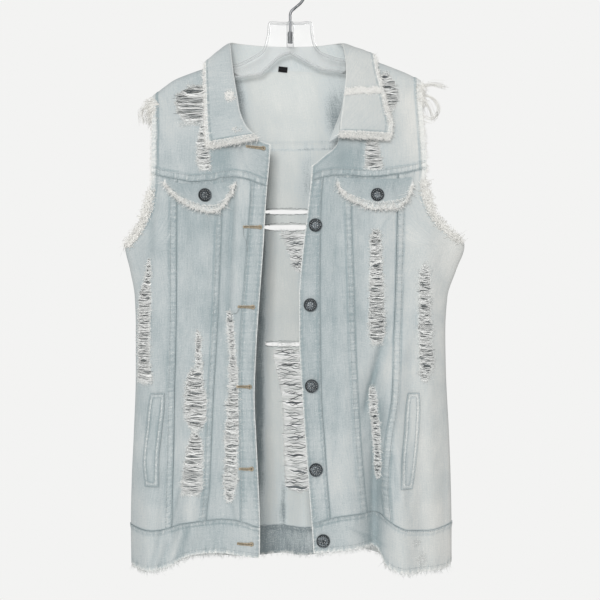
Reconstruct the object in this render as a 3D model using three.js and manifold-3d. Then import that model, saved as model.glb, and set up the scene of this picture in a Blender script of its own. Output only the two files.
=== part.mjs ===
// A long denim vest, worn and ripped, hanging open on a clear plastic hanger.
// X runs to the wearer's left, Y to the back, Z up. Heights in the tables start at the lowest hem.
import * as THREE from 'three';
import { mergeVertices } from 'three/addons/utils/BufferGeometryUtils.js';
import Module from 'manifold-3d';

const wasm = await Module();
wasm.setup();

const clothThickness = 1.6;
const collarThickness = 1.8;
const flapThickness = 2;
const weltThickness = 1.6;
const seamGap = 0.3;
const shoulderRoll = 14;
const neckHalf = 97;
const neckRise = 1.5;
const ringPower = 0.8;

const hookRadius = 21;
const hookWire = 4;
const hookCentreHeight = 845;
const hangerWeb = 2.4;
const hangerRim = 8;
const hangerRimDepth = 4.5;

const hangerTop = 803;
const bossRadius = 5.6;
const bossFoot = 766;
const ferruleRadius = 3.8;
const ferruleFoot = 772;
const ferruleHeight = 16;
const hookStemTop = 812;

const buttonRadius = 9.6;
const buttonHeight = 4;
const buttonSeat = 0.5;

const washedDenim = 0xbac7cc;
const paleDenim = 0xcdd0d0;
const frayWhite = 0xe4e1da;
const pewter = 0x555a5d;

// How far the cloth stands from the middle plane, and the half widths of the body at each height.
const body = [
  { height: 0, front: 50, back: 42, right: 232, left: 236 },
  { height: 74, front: 50, back: 42, right: 233, left: 236 },
  { height: 130, front: 48, back: 41, right: 232, left: 235 },
  { height: 200, front: 46, back: 40, right: 229, left: 232.5 },
  { height: 290, front: 42, back: 38, right: 226, left: 228 },
  { height: 350, front: 40, back: 37, right: 226, left: 227 },
  { height: 400, front: 38, back: 35, right: 227.5, left: 230 },
  { height: 440, front: 36, back: 34, right: 234.5, left: 243 },
  { height: 475, front: 35, back: 33, right: 242, left: 255 },
  { height: 520, front: 32, back: 31, right: 243, left: 255 },
  { height: 600, front: 26, back: 26, right: 246, left: 250 },
  { height: 650, front: 20, back: 24, right: 248, left: 248 },
  { height: 700, front: 15, back: 20, right: 250, left: 246 },
  { height: 750, front: 12, back: 17, right: 250, left: 246 },
];

// The shoulder line, out from the neck.
const rightShoulder = [
  { out: 97, height: 742 },
  { out: 125, height: 734.5 },
  { out: 147, height: 727 },
  { out: 169, height: 718 },
  { out: 183, height: 708.5 },
  { out: 195, height: 699 },
  { out: 203, height: 691 },
];
const leftShoulder = [
  { out: 97, height: 751 },
  { out: 121, height: 746 },
  { out: 139, height: 740 },
  { out: 153, height: 734.5 },
  { out: 168, height: 728.5 },
  { out: 183, height: 721 },
  { out: 191, height: 716 },
];

// Armhole edges from the underarm up.
const rightArmhole = [
  { height: 472, out: 241.5 },
  { height: 487, out: 226.5 },
  { height: 507, out: 213.5 },
  { height: 533, out: 205 },
  { height: 579, out: 200.5 },
  { height: 640, out: 200.5 },
  { height: 680, out: 201.5 },
  { height: 691, out: 203 },
];
const leftArmhole = [
  { height: 478, out: 254.5 },
  { height: 493, out: 231 },
  { height: 507, out: 216.5 },
  { height: 533, out: 201 },
  { height: 560, out: 195 },
  { height: 586, out: 197 },
  { height: 641, out: 194.5 },
  { height: 684, out: 191.5 },
  { height: 716, out: 190.5 },
];

// The seams of each front: out from the middle of the hanger, the left front edge crossing it.
const rightSeams = [
  { height: 0, outer: 170, inner: 121, placket: 70, edge: 43 },
  { height: 74, outer: 169, inner: 119.5, placket: 70, edge: 42 },
  { height: 130, outer: 168, inner: 114.5, placket: 70, edge: 44 },
  { height: 200, outer: 166.5, inner: 111.5, placket: 71.5, edge: 47.5 },
  { height: 260, outer: 166, inner: 109, placket: 73, edge: 50 },
  { height: 330, outer: 164, inner: 105, placket: 71.5, edge: 47.5 },
  { height: 400, outer: 163, inner: 102, placket: 67, edge: 43 },
  { height: 470, outer: 163, inner: 99.5, placket: 62, edge: 38 },
  { height: 540, outer: 163, inner: 97.5, placket: 57, edge: 34 },
  { height: 626, outer: 163, inner: 96.5, placket: 53, edge: 28 },
  { height: 745, outer: 163, inner: 97, placket: 53, edge: 28 },
];
const leftSeams = [
  { height: 0, outer: 136, inner: 116, placket: 60, edge: 36 },
  { height: 88, outer: 134, inner: 110.5, placket: 57, edge: 30 },
  { height: 126, outer: 131, inner: 106.5, placket: 54, edge: 27 },
  { height: 200, outer: 136, inner: 100.5, placket: 49, edge: 21.5 },
  { height: 260, outer: 145, inner: 97, placket: 45, edge: 17.5 },
  { height: 350, outer: 149, inner: 93, placket: 43.5, edge: 13 },
  { height: 400, outer: 151, inner: 92, placket: 43, edge: 13 },
  { height: 470, outer: 153, inner: 89.5, placket: 43.5, edge: 18.5 },
  { height: 540, outer: 155, inner: 88, placket: 45, edge: 27 },
  { height: 590, outer: 156, inner: 90, placket: 50, edge: 31 },
  { height: 755, outer: 156, inner: 97, placket: 62, edge: 31 },
];
const backSeams = [
  { height: 0, right: 88, left: 88 },
  { height: 300, right: 92, left: 92 },
  { height: 620, right: 97, left: 97 },
  { height: 760, right: 97, left: 97 },
];

// Hem, hem band seam and yoke seam of each front, and of the back, against the distance out.
const rightRows = [
  { out: 28, hem: 29, band: 72, yoke: 558 },
  { out: 46, hem: 31, band: 75, yoke: 564 },
  { out: 66, hem: 34, band: 82, yoke: 571 },
  { out: 82, hem: 35, band: 84, yoke: 573.5 },
  { out: 97, hem: 36, band: 84, yoke: 572.5 },
  { out: 112, hem: 36, band: 83, yoke: 568.5 },
  { out: 140, hem: 33, band: 81, yoke: 566 },
  { out: 156, hem: 26, band: 77, yoke: 569 },
  { out: 170, hem: 17, band: 71, yoke: 571.5 },
  { out: 190, hem: 11, band: 67, yoke: 576 },
  { out: 203, hem: 10, band: 67, yoke: 579.5 },
  { out: 234, hem: 14, band: 71, yoke: 581 },
];
const leftRows = [
  { out: 13, hem: 35, band: 77, yoke: 566 },
  { out: 31, hem: 37, band: 79, yoke: 568 },
  { out: 50, hem: 43, band: 84, yoke: 573 },
  { out: 68, hem: 46, band: 89, yoke: 575.5 },
  { out: 80, hem: 48, band: 91, yoke: 575.5 },
  { out: 97, hem: 51, band: 92, yoke: 574.5 },
  { out: 116, hem: 50, band: 92, yoke: 573.5 },
  { out: 128, hem: 42, band: 91, yoke: 574 },
  { out: 136, hem: 25, band: 86, yoke: 575 },
  { out: 150, hem: 16, band: 77, yoke: 577 },
  { out: 168, hem: 10, band: 70, yoke: 580 },
  { out: 195, hem: 12, band: 67, yoke: 586 },
  { out: 236, hem: 22, band: 74, yoke: 588 },
];
const backRows = [
  { across: -234, hem: 12, band: 66, yoke: 606 },
  { across: -203, hem: 12, band: 64, yoke: 608 },
  { across: -183, hem: 12, band: 62, yoke: 610 },
  { across: -147, hem: 12, band: 60, yoke: 613 },
  { across: -97, hem: 13, band: 58, yoke: 617 },
  { across: -80, hem: 13, band: 57, yoke: 618 },
  { across: -45, hem: 13, band: 56, yoke: 619 },
  { across: 0, hem: 14, band: 56, yoke: 619 },
  { across: 45, hem: 14, band: 56, yoke: 620 },
  { across: 80, hem: 14, band: 57, yoke: 620 },
  { across: 97, hem: 14, band: 58, yoke: 620 },
  { across: 153, hem: 13, band: 60, yoke: 618 },
  { across: 191, hem: 13, band: 64, yoke: 615 },
  { across: 236, hem: 16, band: 70, yoke: 613 },
];

// The neckline up to the shoulder line; the left front's begins with its slanting fold.
const rightNeckline = [
  { out: 28, top: 620 },
  { out: 46, top: 627 },
  { out: 66, top: 643 },
  { out: 82, top: 698 },
  { out: 97, top: 742 },
];
const leftNeckline = [
  { out: 13, top: 582 },
  { out: 31, top: 589 },
  { out: 50, top: 604 },
  { out: 68, top: 621 },
  { out: 80, top: 680 },
  { out: 97, top: 751 },
];
const backNeckline = [
  { across: -97, top: 742 },
  { across: -80, top: 728 },
  { across: -45, top: 731.5 },
  { across: 0, top: 735 },
  { across: 45, top: 732.5 },
  { across: 80, top: 731 },
  { across: 97, top: 751 },
];

// Folds stand out (positive) or sink in along a line from a low point to a high one; reach is how wide they
// are to each side, and soften how far they fade past their ends.
const frontFolds = [
  { rise: 13, reach: 26, lowX: -205, low: 0, highX: -200, high: 70, soften: 90 },
  { rise: 8, reach: 18, lowX: -144, low: 70, highX: -142, high: 105, soften: 25 },
  { rise: -7, reach: 16, lowX: -176, low: 85, highX: -172, high: 240, soften: 80 },
  { rise: -5, reach: 16, lowX: -90, low: 400, highX: -86, high: 550, soften: 50 },
  { rise: 5, reach: 16, lowX: -128, low: 360, highX: -130, high: 540, soften: 60 },
  { rise: 5, reach: 22, lowX: -60, low: 60, highX: -62, high: 330, soften: 120 },
  { rise: -5, reach: 15, lowX: -100, low: 0, highX: -94, high: 150, soften: 60 },
  { rise: 6, reach: 18, lowX: -196, low: 330, highX: -190, high: 500, soften: 60 },
  { rise: 15, reach: 22, lowX: 162, low: 0, highX: 158, high: 90, soften: 130 },
  { rise: -13, reach: 15, lowX: 122, low: 0, highX: 120, high: 120, soften: 130 },
  { rise: -6, reach: 15, lowX: 118, low: 270, highX: 141, high: 330, soften: 25 },
  { rise: 6, reach: 15, lowX: 140, low: 225, highX: 158, high: 320, soften: 40 },
  { rise: 6, reach: 20, lowX: 80, low: 20, highX: 74, high: 260, soften: 110 },
  { rise: -5, reach: 16, lowX: 168, low: 400, highX: 170, high: 520, soften: 50 },
  { rise: 6, reach: 18, lowX: 205, low: 20, highX: 196, high: 420, soften: 80 },
  { rise: -4, reach: 16, lowX: 104, low: 380, highX: 104, high: 520, soften: 60 },
];
const backFolds = [
  { rise: 9, reach: 20, lowX: -18, low: 0, highX: -16, high: 60, soften: 90 },
  { rise: -9, reach: 16, lowX: 22, low: 0, highX: 20, high: 90, soften: 120 },
  { rise: 8, reach: 22, lowX: 70, low: 0, highX: 60, high: 260, soften: 140 },
  { rise: -7, reach: 15, lowX: -70, low: 20, highX: -64, high: 240, soften: 150 },
  { rise: 8, reach: 24, lowX: -125, low: 0, highX: -112, high: 300, soften: 120 },
  { rise: -7, reach: 16, lowX: 126, low: 0, highX: 112, high: 330, soften: 100 },
  { rise: 8, reach: 20, lowX: 178, low: 0, highX: 166, high: 220, soften: 130 },
  { rise: -6, reach: 15, lowX: -176, low: 30, highX: -168, high: 300, soften: 90 },
  { rise: 5, reach: 26, lowX: -40, low: 420, highX: -70, high: 560, soften: 60 },
  { rise: -5, reach: 18, lowX: 40, low: 430, highX: 64, high: 570, soften: 50 },
];

// Ladders of rips: thread bands hold between the gaps. Places are across (X) and height.
const ladders = [
  { panel: 'right_yoke', low: 655, high: 706, lowX: -146, highX: -144, width: 40, gap: 5.5, gaps: 5 },
  { panel: 'right_yoke', low: 588, high: 640, lowX: -127, highX: -126, width: 17, gap: 4.4, gaps: 5 },
  { panel: 'left_yoke', low: 672, high: 722, lowX: 155, highX: 146, width: 20, gap: 6, gaps: 5 },
  { panel: 'left_yoke', low: 588, high: 622, lowX: 122, highX: 121, width: 19, gap: 4.4, gaps: 4 },
  { panel: 'right_side_front', low: 284, high: 452, lowX: -207, highX: -208, width: 17, gap: 5, gaps: 13 },
  { panel: 'right_middle_front', low: 128, high: 196, lowX: -143, highX: -139, width: 28, gap: 5, gaps: 6 },
  { panel: 'right_middle_front', low: 226, high: 292, lowX: -137, highX: -137, width: 28, gap: 6, gaps: 6 },
  { panel: 'right_middle_front', low: 298, high: 352, lowX: -130, highX: -129, width: 9, gap: 4.6, gaps: 4 },
  { panel: 'right_centre_front', low: 112, high: 372, lowX: -92, highX: -86, width: 15, gap: 5, gaps: 15 },
  { panel: 'left_middle_front', low: 340, high: 494, lowX: 122, highX: 121, width: 18, gap: 5, gaps: 13 },
  { panel: 'left_middle_front', low: 142, high: 268, lowX: 119, highX: 119, width: 16, gap: 4.6, gaps: 9 },
  { panel: 'left_side_front', low: 290, high: 444, lowX: 201, highX: 200, width: 20, gap: 5, gaps: 12 },
  { panel: 'back_centre', low: 440, high: 490, lowX: 6, highX: 4, width: 30, gap: 5, gaps: 5 },
  { panel: 'back_centre', low: 118, high: 316, lowX: 8, highX: 0, width: 42, gap: 8, gaps: 11 },
];

// Single open gaps across the back.
const backGaps = [
  { height: 528, middle: -6, width: 74, gap: 9 },
  { height: 505, middle: -5, width: 76, gap: 9 },
  { height: 330, middle: -8, width: 62, gap: 9 },
];

// The collar from its right front end round the neck to its left front end: neck seam, roll and outer edge.
const collar = [
  { neck: [-51, -22, 631], roll: [-47, -29, 629], edge: [-119, -24, 616] },
  { neck: [-64, -21, 645], roll: [-62, -29, 643], edge: [-121.5, -22.5, 638] },
  { neck: [-72, -18, 664], roll: [-72, -26, 663], edge: [-122, -20.5, 660] },
  { neck: [-79, -15, 690], roll: [-77, -23, 690], edge: [-123, -17.5, 688] },
  { neck: [-86, -12, 722], roll: [-83, -18, 727], edge: [-124, -15, 718] },
  { neck: [-93, -3, 746], roll: [-87, -6, 762], edge: [-124, -6, 742] },
  { neck: [-93, 6, 746], roll: [-87, 8, 773], edge: [-119, 16, 739] },
  { neck: [-76, 17, 731], roll: [-73, 20, 775], edge: [-93, 26, 716] },
  { neck: [-43, 19, 734], roll: [-42, 23, 773], edge: [-50, 28, 711] },
  { neck: [0, 19, 737], roll: [0, 24, 772], edge: [0, 28, 710] },
  { neck: [43, 19, 735], roll: [40, 23, 773], edge: [50, 28, 712] },
  { neck: [76, 17, 734], roll: [65, 20, 775], edge: [92, 26, 720] },
  { neck: [92, 6, 755], roll: [75, 8, 772], edge: [116, 16, 751] },
  { neck: [91, -3, 755], roll: [79, -6, 760], edge: [122, -7, 753] },
  { neck: [85, -11, 724], roll: [82, -18, 724], edge: [128, -15, 722] },
  { neck: [79, -15, 692], roll: [79, -23, 694], edge: [135, -17.5, 697] },
  { neck: [74, -18, 668], roll: [76, -26, 670], edge: [141, -20, 672] },
  { neck: [66, -20, 646], roll: [73, -29, 651], edge: [147, -21.5, 651] },
  { neck: [58, -21, 624], roll: [72, -30, 632], edge: [144, -23.5, 629] },
];

// Lower outline of each pocket flap, out from the middle.
const rightFlap = [
  { out: 77, low: 562, top: 566.5 },
  { out: 84, low: 551, top: 567.5 },
  { out: 91, low: 540, top: 567 },
  { out: 98, low: 529, top: 565 },
  { out: 107, low: 523, top: 563 },
  { out: 121, low: 522.5, top: 561 },
  { out: 132, low: 526, top: 561 },
  { out: 149, low: 535, top: 563 },
  { out: 163, low: 543, top: 565 },
  { out: 173, low: 552, top: 567.5 },
  { out: 181, low: 564, top: 569.5 },
];
const leftFlap = [
  { out: 67, low: 562, top: 571 },
  { out: 75, low: 548.5, top: 571 },
  { out: 86, low: 540, top: 571 },
  { out: 102, low: 534, top: 570 },
  { out: 114, low: 528.5, top: 569.5 },
  { out: 128, low: 527, top: 569.5 },
  { out: 149, low: 528.5, top: 570.5 },
  { out: 162, low: 534, top: 571.5 },
  { out: 171, low: 545.5, top: 573 },
  { out: 177, low: 562, top: 574 },
];

// Welt pockets on the side fronts: the outline's two long edges.
const rightWelt = [
  { height: 129, outer: 207, inner: 188 },
  { height: 166, outer: 211, inner: 188 },
  { height: 211, outer: 207, inner: 184 },
  { height: 250, outer: 203, inner: 181 },
  { height: 262, outer: 200, inner: 181 },
];
const leftWelt = [
  { height: 128, inner: 157, outer: 173 },
  { height: 155, inner: 157, outer: 178 },
  { height: 197, inner: 161, outer: 183 },
  { height: 245, inner: 165, outer: 186 },
  { height: 263, inner: 168, outer: 185 },
];

// Buttons down the left front and on the flaps; the top one is behind the turned corner.
const buttons = [
  { name: 'placket_button_2', across: 36.5, height: 503 },
  { name: 'placket_button_3', across: 29, height: 389 },
  { name: 'placket_button_4', across: 31, height: 273.5 },
  { name: 'placket_button_5', across: 37, height: 155 },
  { name: 'hem_band_button', across: 47, height: 55 },
];
const flapButtons = [
  { name: 'right_flap_button', flap: 'right_pocket_flap', across: -122, height: 546 },
  { name: 'left_flap_button', flap: 'left_pocket_flap', across: 125.5, height: 547 },
];

// Hanger outline out from the middle: the top and bottom edges of the right and left halves.
const rightHanger = [
  { out: 0, top: 803, bottom: 756 },
  { out: 15, top: 803, bottom: 750 },
  { out: 31, top: 803, bottom: 735.5 },
  { out: 34, top: 785, bottom: 733 },
  { out: 38, top: 769, bottom: 729 },
  { out: 41, top: 762, bottom: 726 },
  { out: 59, top: 750, bottom: 722 },
  { out: 78, top: 741.5, bottom: 719 },
  { out: 97, top: 738.2, bottom: 716 },
  { out: 125, top: 730.6, bottom: 711 },
  { out: 147, top: 723.2, bottom: 705 },
  { out: 169, top: 714.2, bottom: 697 },
  { out: 182, top: 704.5, bottom: 690 },
  { out: 189, top: 698, bottom: 688 },
];
const leftHanger = [
  { out: 0, top: 803, bottom: 756 },
  { out: 14, top: 803, bottom: 748 },
  { out: 31, top: 803, bottom: 738.5 },
  { out: 34, top: 785, bottom: 737 },
  { out: 38, top: 769, bottom: 735 },
  { out: 44, top: 760.5, bottom: 732.5 },
  { out: 65, top: 752, bottom: 729 },
  { out: 79, top: 749, bottom: 726.5 },
  { out: 97, top: 747.2, bottom: 725 },
  { out: 121, top: 742.2, bottom: 721 },
  { out: 139, top: 736.2, bottom: 716.5 },
  { out: 153, top: 730.6, bottom: 711.5 },
  { out: 168, top: 724.6, bottom: 706 },
  { out: 179, top: 718.8, bottom: 705 },
];

const clamp = THREE.MathUtils.clamp;
const lerp = THREE.MathUtils.lerp;
const fraction = (value) => value - Math.floor(value);
const scatter = (seed) => fraction(Math.sin(seed * 12.9898 + 4.1) * 43758.5453);

// The value of a column of a table at some place along its key column, smooth and without overshoot.
function along(rows, key, column, place) {
  const last = rows.length - 1;
  const x = clamp(place, rows[0][key], rows[last][key]);
  let i = 0;
  while (i < last - 1 && rows[i + 1][key] < x) i += 1;
  const slope = (a) => (a < 0 || a >= last ? null
    : (rows[a + 1][column] - rows[a][column]) / (rows[a + 1][key] - rows[a][key]));
  const tangent = (a) => {
    const before = slope(a - 1);
    const after = slope(a);
    if (before === null) return after;
    if (after === null) return before;
    return before * after <= 0 ? 0 : (2 * before * after) / (before + after);
  };
  const width = rows[i + 1][key] - rows[i][key];
  const t = (x - rows[i][key]) / width;
  const start = rows[i][column];
  const end = rows[i + 1][column];
  return start * (1 + 2 * t) * (1 - t) ** 2 + tangent(i) * width * t * (1 - t) ** 2
    + end * t * t * (3 - 2 * t) + tangent(i + 1) * width * t * t * (t - 1);
}

const bodyAt = (column, height) => along(body, 'height', column, height);
const halfWidth = (x, height) => bodyAt(x < 0 ? 'right' : 'left', height);
const angleAt = (x, height) => Math.asin(clamp(x / halfWidth(x, height), -1, 1));

function shoulderHeight(x) {
  const out = Math.abs(x);
  const line = x < 0 ? rightShoulder : leftShoulder;
  return out < neckHalf ? line[0].height + neckRise * (neckHalf - out) : along(line, 'out', 'height', out);
}

function foldRise(folds, x, height) {
  let sum = 0;
  for (const fold of folds) {
    const middle = fold.lowX + (fold.highX - fold.lowX) * ((height - fold.low) / (fold.high - fold.low));
    const across = (x - middle) / fold.reach;
    const past = Math.max(fold.low - height, height - fold.high, 0) / fold.soften;
    sum += fold.rise * Math.exp(-across * across - past * past);
  }
  return sum;
}

// A point of the outer cloth, on the front (side -1) or the back (side 1), at an angle round the body.
function clothAt(side, angle, height) {
  const x = Math.sin(angle) * bodyAt(angle < 0 ? 'right' : 'left', height);
  const depth = bodyAt(side < 0 ? 'front' : 'back', height);
  const down = clamp((shoulderHeight(x) - height) / shoulderRoll, 0, 1);
  const rolled = Math.sqrt(1 - (1 - down) ** 2);
  const round = Math.max(Math.cos(angle), 0) ** ringPower;
  const fold = foldRise(side < 0 ? frontFolds : backFolds, x, height) * Math.min(1, round * 1.6);
  return new THREE.Vector3(x, side * ((depth * round + fold) * rolled + seamGap / 2), height);
}

function clothNormal(side, angle, height) {
  const step = 0.004;
  const drop = 0.02;
  const turn = angle > 0 ? -step : step;
  const here = clothAt(side, angle, height);
  const level = Math.max(0, 1 - (shoulderHeight(here.x) - height) / 60);
  const beside = clothAt(side, angle + turn, height);
  const lift = (shoulderHeight(beside.x) - shoulderHeight(here.x)) * level;
  const across = clothAt(side, angle + turn, height + lift).sub(here).multiplyScalar(Math.sign(turn));
  const down = clothAt(side, angle, height - drop).sub(here);
  return across.cross(down).normalize().multiplyScalar(side);
}

// The cloth's outer point at a place, moved out along its normal.
function onCloth(side, x, height, out = 0) {
  const angle = angleAt(x, height);
  const point = clothAt(side, angle, height);
  const normal = clothNormal(side, angle, height);
  return { point: point.addScaledVector(normal, out), normal };
}

function geometryFrom(positions, faces) {
  const geometry = new THREE.BufferGeometry();
  geometry.setAttribute('position', new THREE.Float32BufferAttribute(positions, 3));
  geometry.setIndex(faces);
  return geometry;
}

// A closed wall between a grid of outer points and the same grid moved back by the thickness.
function wall(grid, thickness) {
  const rows = grid.length;
  const columns = grid[0].length;
  const positions = [];
  const faces = [];
  for (const back of [0, thickness]) {
    for (const row of grid) {
      for (const { point, normal } of row) {
        positions.push(...point.clone().addScaledVector(normal, -back).toArray());
      }
    }
  }
  const at = (layer, i, j) => layer * rows * columns + i * columns + j;
  const quad = (a, b, c, d) => faces.push(a, b, c, a, c, d);
  for (let i = 0; i < rows - 1; i += 1) {
    for (let j = 0; j < columns - 1; j += 1) {
      quad(at(0, i, j), at(0, i, j + 1), at(0, i + 1, j + 1), at(0, i + 1, j));
      quad(at(1, i, j), at(1, i + 1, j), at(1, i + 1, j + 1), at(1, i, j + 1));
    }
    quad(at(0, i, 0), at(0, i + 1, 0), at(1, i + 1, 0), at(1, i, 0));
    quad(at(0, i, columns - 1), at(1, i, columns - 1), at(1, i + 1, columns - 1), at(0, i + 1, columns - 1));
  }
  for (let j = 0; j < columns - 1; j += 1) {
    quad(at(0, 0, j + 1), at(0, 0, j), at(1, 0, j), at(1, 0, j + 1));
    quad(at(0, rows - 1, j + 1), at(1, rows - 1, j + 1), at(1, rows - 1, j), at(0, rows - 1, j));
  }
  return outward(geometryFrom(positions, faces));
}

// The same solid with its faces turned out, if they point in.
function outward(geometry) {
  const position = geometry.getAttribute('position');
  const index = geometry.getIndex();
  const corner = (k) => new THREE.Vector3().fromBufferAttribute(position, index.getX(k));
  let volume = 0;
  for (let k = 0; k < index.count; k += 3) {
    volume += corner(k).dot(corner(k + 1).cross(corner(k + 2)));
  }
  if (volume > 0) return geometry;
  for (let k = 0; k < index.count; k += 3) {
    const second = index.getX(k + 1);
    index.setX(k + 1, index.getX(k + 2));
    index.setX(k + 2, second);
  }
  return geometry;
}

function toSolid(geometry) {
  const bare = geometry.clone();
  bare.deleteAttribute('normal');
  bare.deleteAttribute('uv');
  const merged = mergeVertices(bare, 1e-4);
  return new wasm.Manifold(new wasm.Mesh({
    numProp: 3,
    vertProperties: Float32Array.from(merged.getAttribute('position').array),
    triVerts: Uint32Array.from(merged.getIndex().array),
  }));
}

function fromSolid(solid) {
  const mesh = solid.getMesh();
  return geometryFrom(Array.from(mesh.vertProperties), Array.from(mesh.triVerts));
}

// A lens-shaped slot through the cloth, front or back.
function slot(side, middle, height, width, gap, tilt) {
  const half = width / 2;
  const tall = gap / 2;
  const shape = new THREE.Shape([
    new THREE.Vector2(-half, tall * 0.3),
    new THREE.Vector2(-half * 0.7, -tall),
    new THREE.Vector2(half, -tall * 0.5),
    new THREE.Vector2(half * 0.75, tall),
  ]);
  const geometry = new THREE.ExtrudeGeometry(shape, { depth: 120, bevelEnabled: false });
  geometry.rotateX(Math.PI / 2);
  geometry.rotateY(tilt);
  geometry.translate(middle, side < 0 ? -1 : 121, height);
  return toSolid(geometry);
}

function rip(name, side, geometry) {
  let solid = toSolid(geometry);
  for (const ladder of ladders.filter((row) => row.panel === name)) {
    for (let k = 0; k < ladder.gaps; k += 1) {
      const seed = ladder.low + k * 3.7;
      const up = (k + 0.5 + 0.3 * (scatter(seed) - 0.5)) / ladder.gaps;
      const width = ladder.width * (0.72 + 0.28 * scatter(seed + 1));
      const middle = lerp(ladder.lowX, ladder.highX, up) + (ladder.width - width) * (scatter(seed + 2) - 0.5);
      const gap = ladder.gap * (0.8 + 0.4 * scatter(seed + 3));
      const tilt = 0.12 * (scatter(seed + 4) - 0.5);
      solid = solid.subtract(slot(side, middle, lerp(ladder.low, ladder.high, up), width, gap, tilt));
    }
  }
  if (name === 'back_centre') {
    for (const open of backGaps) {
      solid = solid.subtract(slot(side, open.middle, open.height, open.width, open.gap, 0.02));
    }
  }
  return fromSolid(solid);
}

// A grid of cloth points where column lines, across at a height, cross row lines, high at a place across.
function clothGrid(side, columnLines, rowLines) {
  return rowLines.map((rowLine) => columnLines.map((columnLine) => {
    let x = columnLine(300);
    let height = rowLine(x);
    for (let k = 0; k < 6; k += 1) {
      x = columnLine(height);
      height = rowLine(x);
    }
    return onCloth(side, x, height);
  }));
}

// Lines between two lines, at shares of the way, kept half a seam gap inside each end that is a seam.
function linesBetween(first, last, shares, seamAtFirst = true, seamAtLast = true) {
  return shares.map((share) => (place) => {
    const start = first(place);
    const end = last(place);
    let inset = 0;
    if (share === 0 && seamAtFirst) inset = seamGap / 2;
    if (share === 1 && seamAtLast) inset = -seamGap / 2;
    return lerp(start, end, share) + inset * Math.sign(end - start);
  });
}

const evenShares = (count) => Array.from({ length: count + 1 }, (_, k) => k / count);
const bodyShares = [0, 0.07, 0.15, 0.23, 0.31, 0.39, 0.47, 0.55, 0.63, 0.71, 0.79, 0.82, 0.86, 0.91, 1];
const sideShares = [0, 0.2, 0.4, 0.6, 0.78, 0.91, 0.975, 1];
const shoulderDrops = [14, 6, 1.8, 0];

// The column and row lines of one front. hand is -1 for the wearer's right and 1 for the left.
function frontLines(hand) {
  const seams = hand < 0 ? rightSeams : leftSeams;
  const armhole = hand < 0 ? rightArmhole : leftArmhole;
  const rows = hand < 0 ? rightRows : leftRows;
  const neckline = hand < 0 ? rightNeckline : leftNeckline;
  const seam = (name) => (height) => hand * along(seams, 'height', name, height);
  const side = (height) => (height < armhole[0].height
    ? hand * bodyAt(hand < 0 ? 'right' : 'left', height)
    : hand * along(armhole, 'height', 'out', height));
  const row = (name) => (x) => along(rows, 'out', name, x * hand);
  return { side, outer: seam('outer'), inner: seam('inner'), placket: seam('placket'), edge: seam('edge'),
    hem: row('hem'), band: row('band'), yoke: row('yoke'), top: topLine(neckline, 'out', hand) };
}

// The top edge of the cloth: the neckline, and past it the shoulder line.
function topLine(neckline, key, hand) {
  return (x) => (Math.abs(x) < neckHalf ? along(neckline, key, 'top', x * hand) : shoulderHeight(x));
}

function backLines() {
  const seam = (name, hand) => (height) => hand * along(backSeams, 'height', name, height);
  const row = (name) => (x) => along(backRows, 'across', name, x);
  return { right: frontLines(-1).side, left: frontLines(1).side,
    rightSeam: seam('right', -1), leftSeam: seam('left', 1),
    hem: row('hem'), band: row('band'), yoke: row('yoke'), top: topLine(backNeckline, 'across', 1) };
}

// Row lines of a yoke: from its seam up, then close together where the cloth rolls over the shoulder.
function yokeRows(seam, top, shares) {
  const rolled = (drop) => (x) => top(x) - drop;
  const lower = shares.map((share) => (x) => lerp(seam(x) + seamGap / 2, top(x) - shoulderDrops[0], share));
  return [...lower, ...shoulderDrops.map(rolled)];
}

function joinLines(...groups) {
  return groups.flatMap((group, k) => (k === 0 ? group : group.slice(1)));
}

const fromSide = sideShares.map((share) => 1 - share).reverse();
const bandShares = [0, 1];
const backShares = [0, 0.13, 0.26, 0.39, 0.52, 0.64, 0.752, 0.785, 0.825, 0.88, 1];
const centreBackShares = [0, 0.02, 0.12, 0.23, 0.34, 0.45, 0.56, 0.67, 0.78, 0.88, 0.98, 1];

function plainPiece(name, grid, colour) {
  return { name, grid, geometry: wall(grid, clothThickness), colour };
}

function frontPieces(hand, label) {
  const lines = frontLines(hand);
  const rowsOfBody = linesBetween(lines.band, lines.yoke, bodyShares);
  const middleShares = evenShares(hand < 0 ? 4 : 3);
  const stretches = {
    side_front: linesBetween(lines.side, lines.outer, fromSide, false),
    middle_front: linesBetween(lines.outer, lines.inner, middleShares),
    centre_front: linesBetween(lines.inner, lines.placket, evenShares(3)),
    placket: linesBetween(lines.placket, lines.edge, evenShares(2)),
  };
  const acrossAll = joinLines(
    linesBetween(lines.side, lines.outer, fromSide, false, false),
    linesBetween(lines.outer, lines.inner, middleShares, false, false),
    linesBetween(lines.inner, lines.placket, evenShares(3), false, false),
    linesBetween(lines.placket, lines.edge, evenShares(2), false, false),
  );
  const pieces = Object.entries(stretches).map(([stretch, columnLines]) => {
    const name = `${label}_${stretch}`;
    const grid = clothGrid(-1, columnLines, rowsOfBody);
    return { name, grid, geometry: rip(name, -1, wall(grid, clothThickness)), colour: washedDenim };
  });
  const yokeGrid = clothGrid(-1, acrossAll, yokeRows(lines.yoke, lines.top, [0, 0.33, 0.67]));
  const yokeName = `${label}_yoke`;
  const yoke = rip(yokeName, -1, wall(yokeGrid, clothThickness));
  pieces.push({ name: yokeName, grid: yokeGrid, geometry: yoke, colour: paleDenim });
  const bandGrid = clothGrid(-1, acrossAll, linesBetween(lines.hem, lines.band, bandShares, false));
  pieces.push(plainPiece(`${label}_hem_band`, bandGrid, washedDenim));
  return pieces;
}

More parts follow.
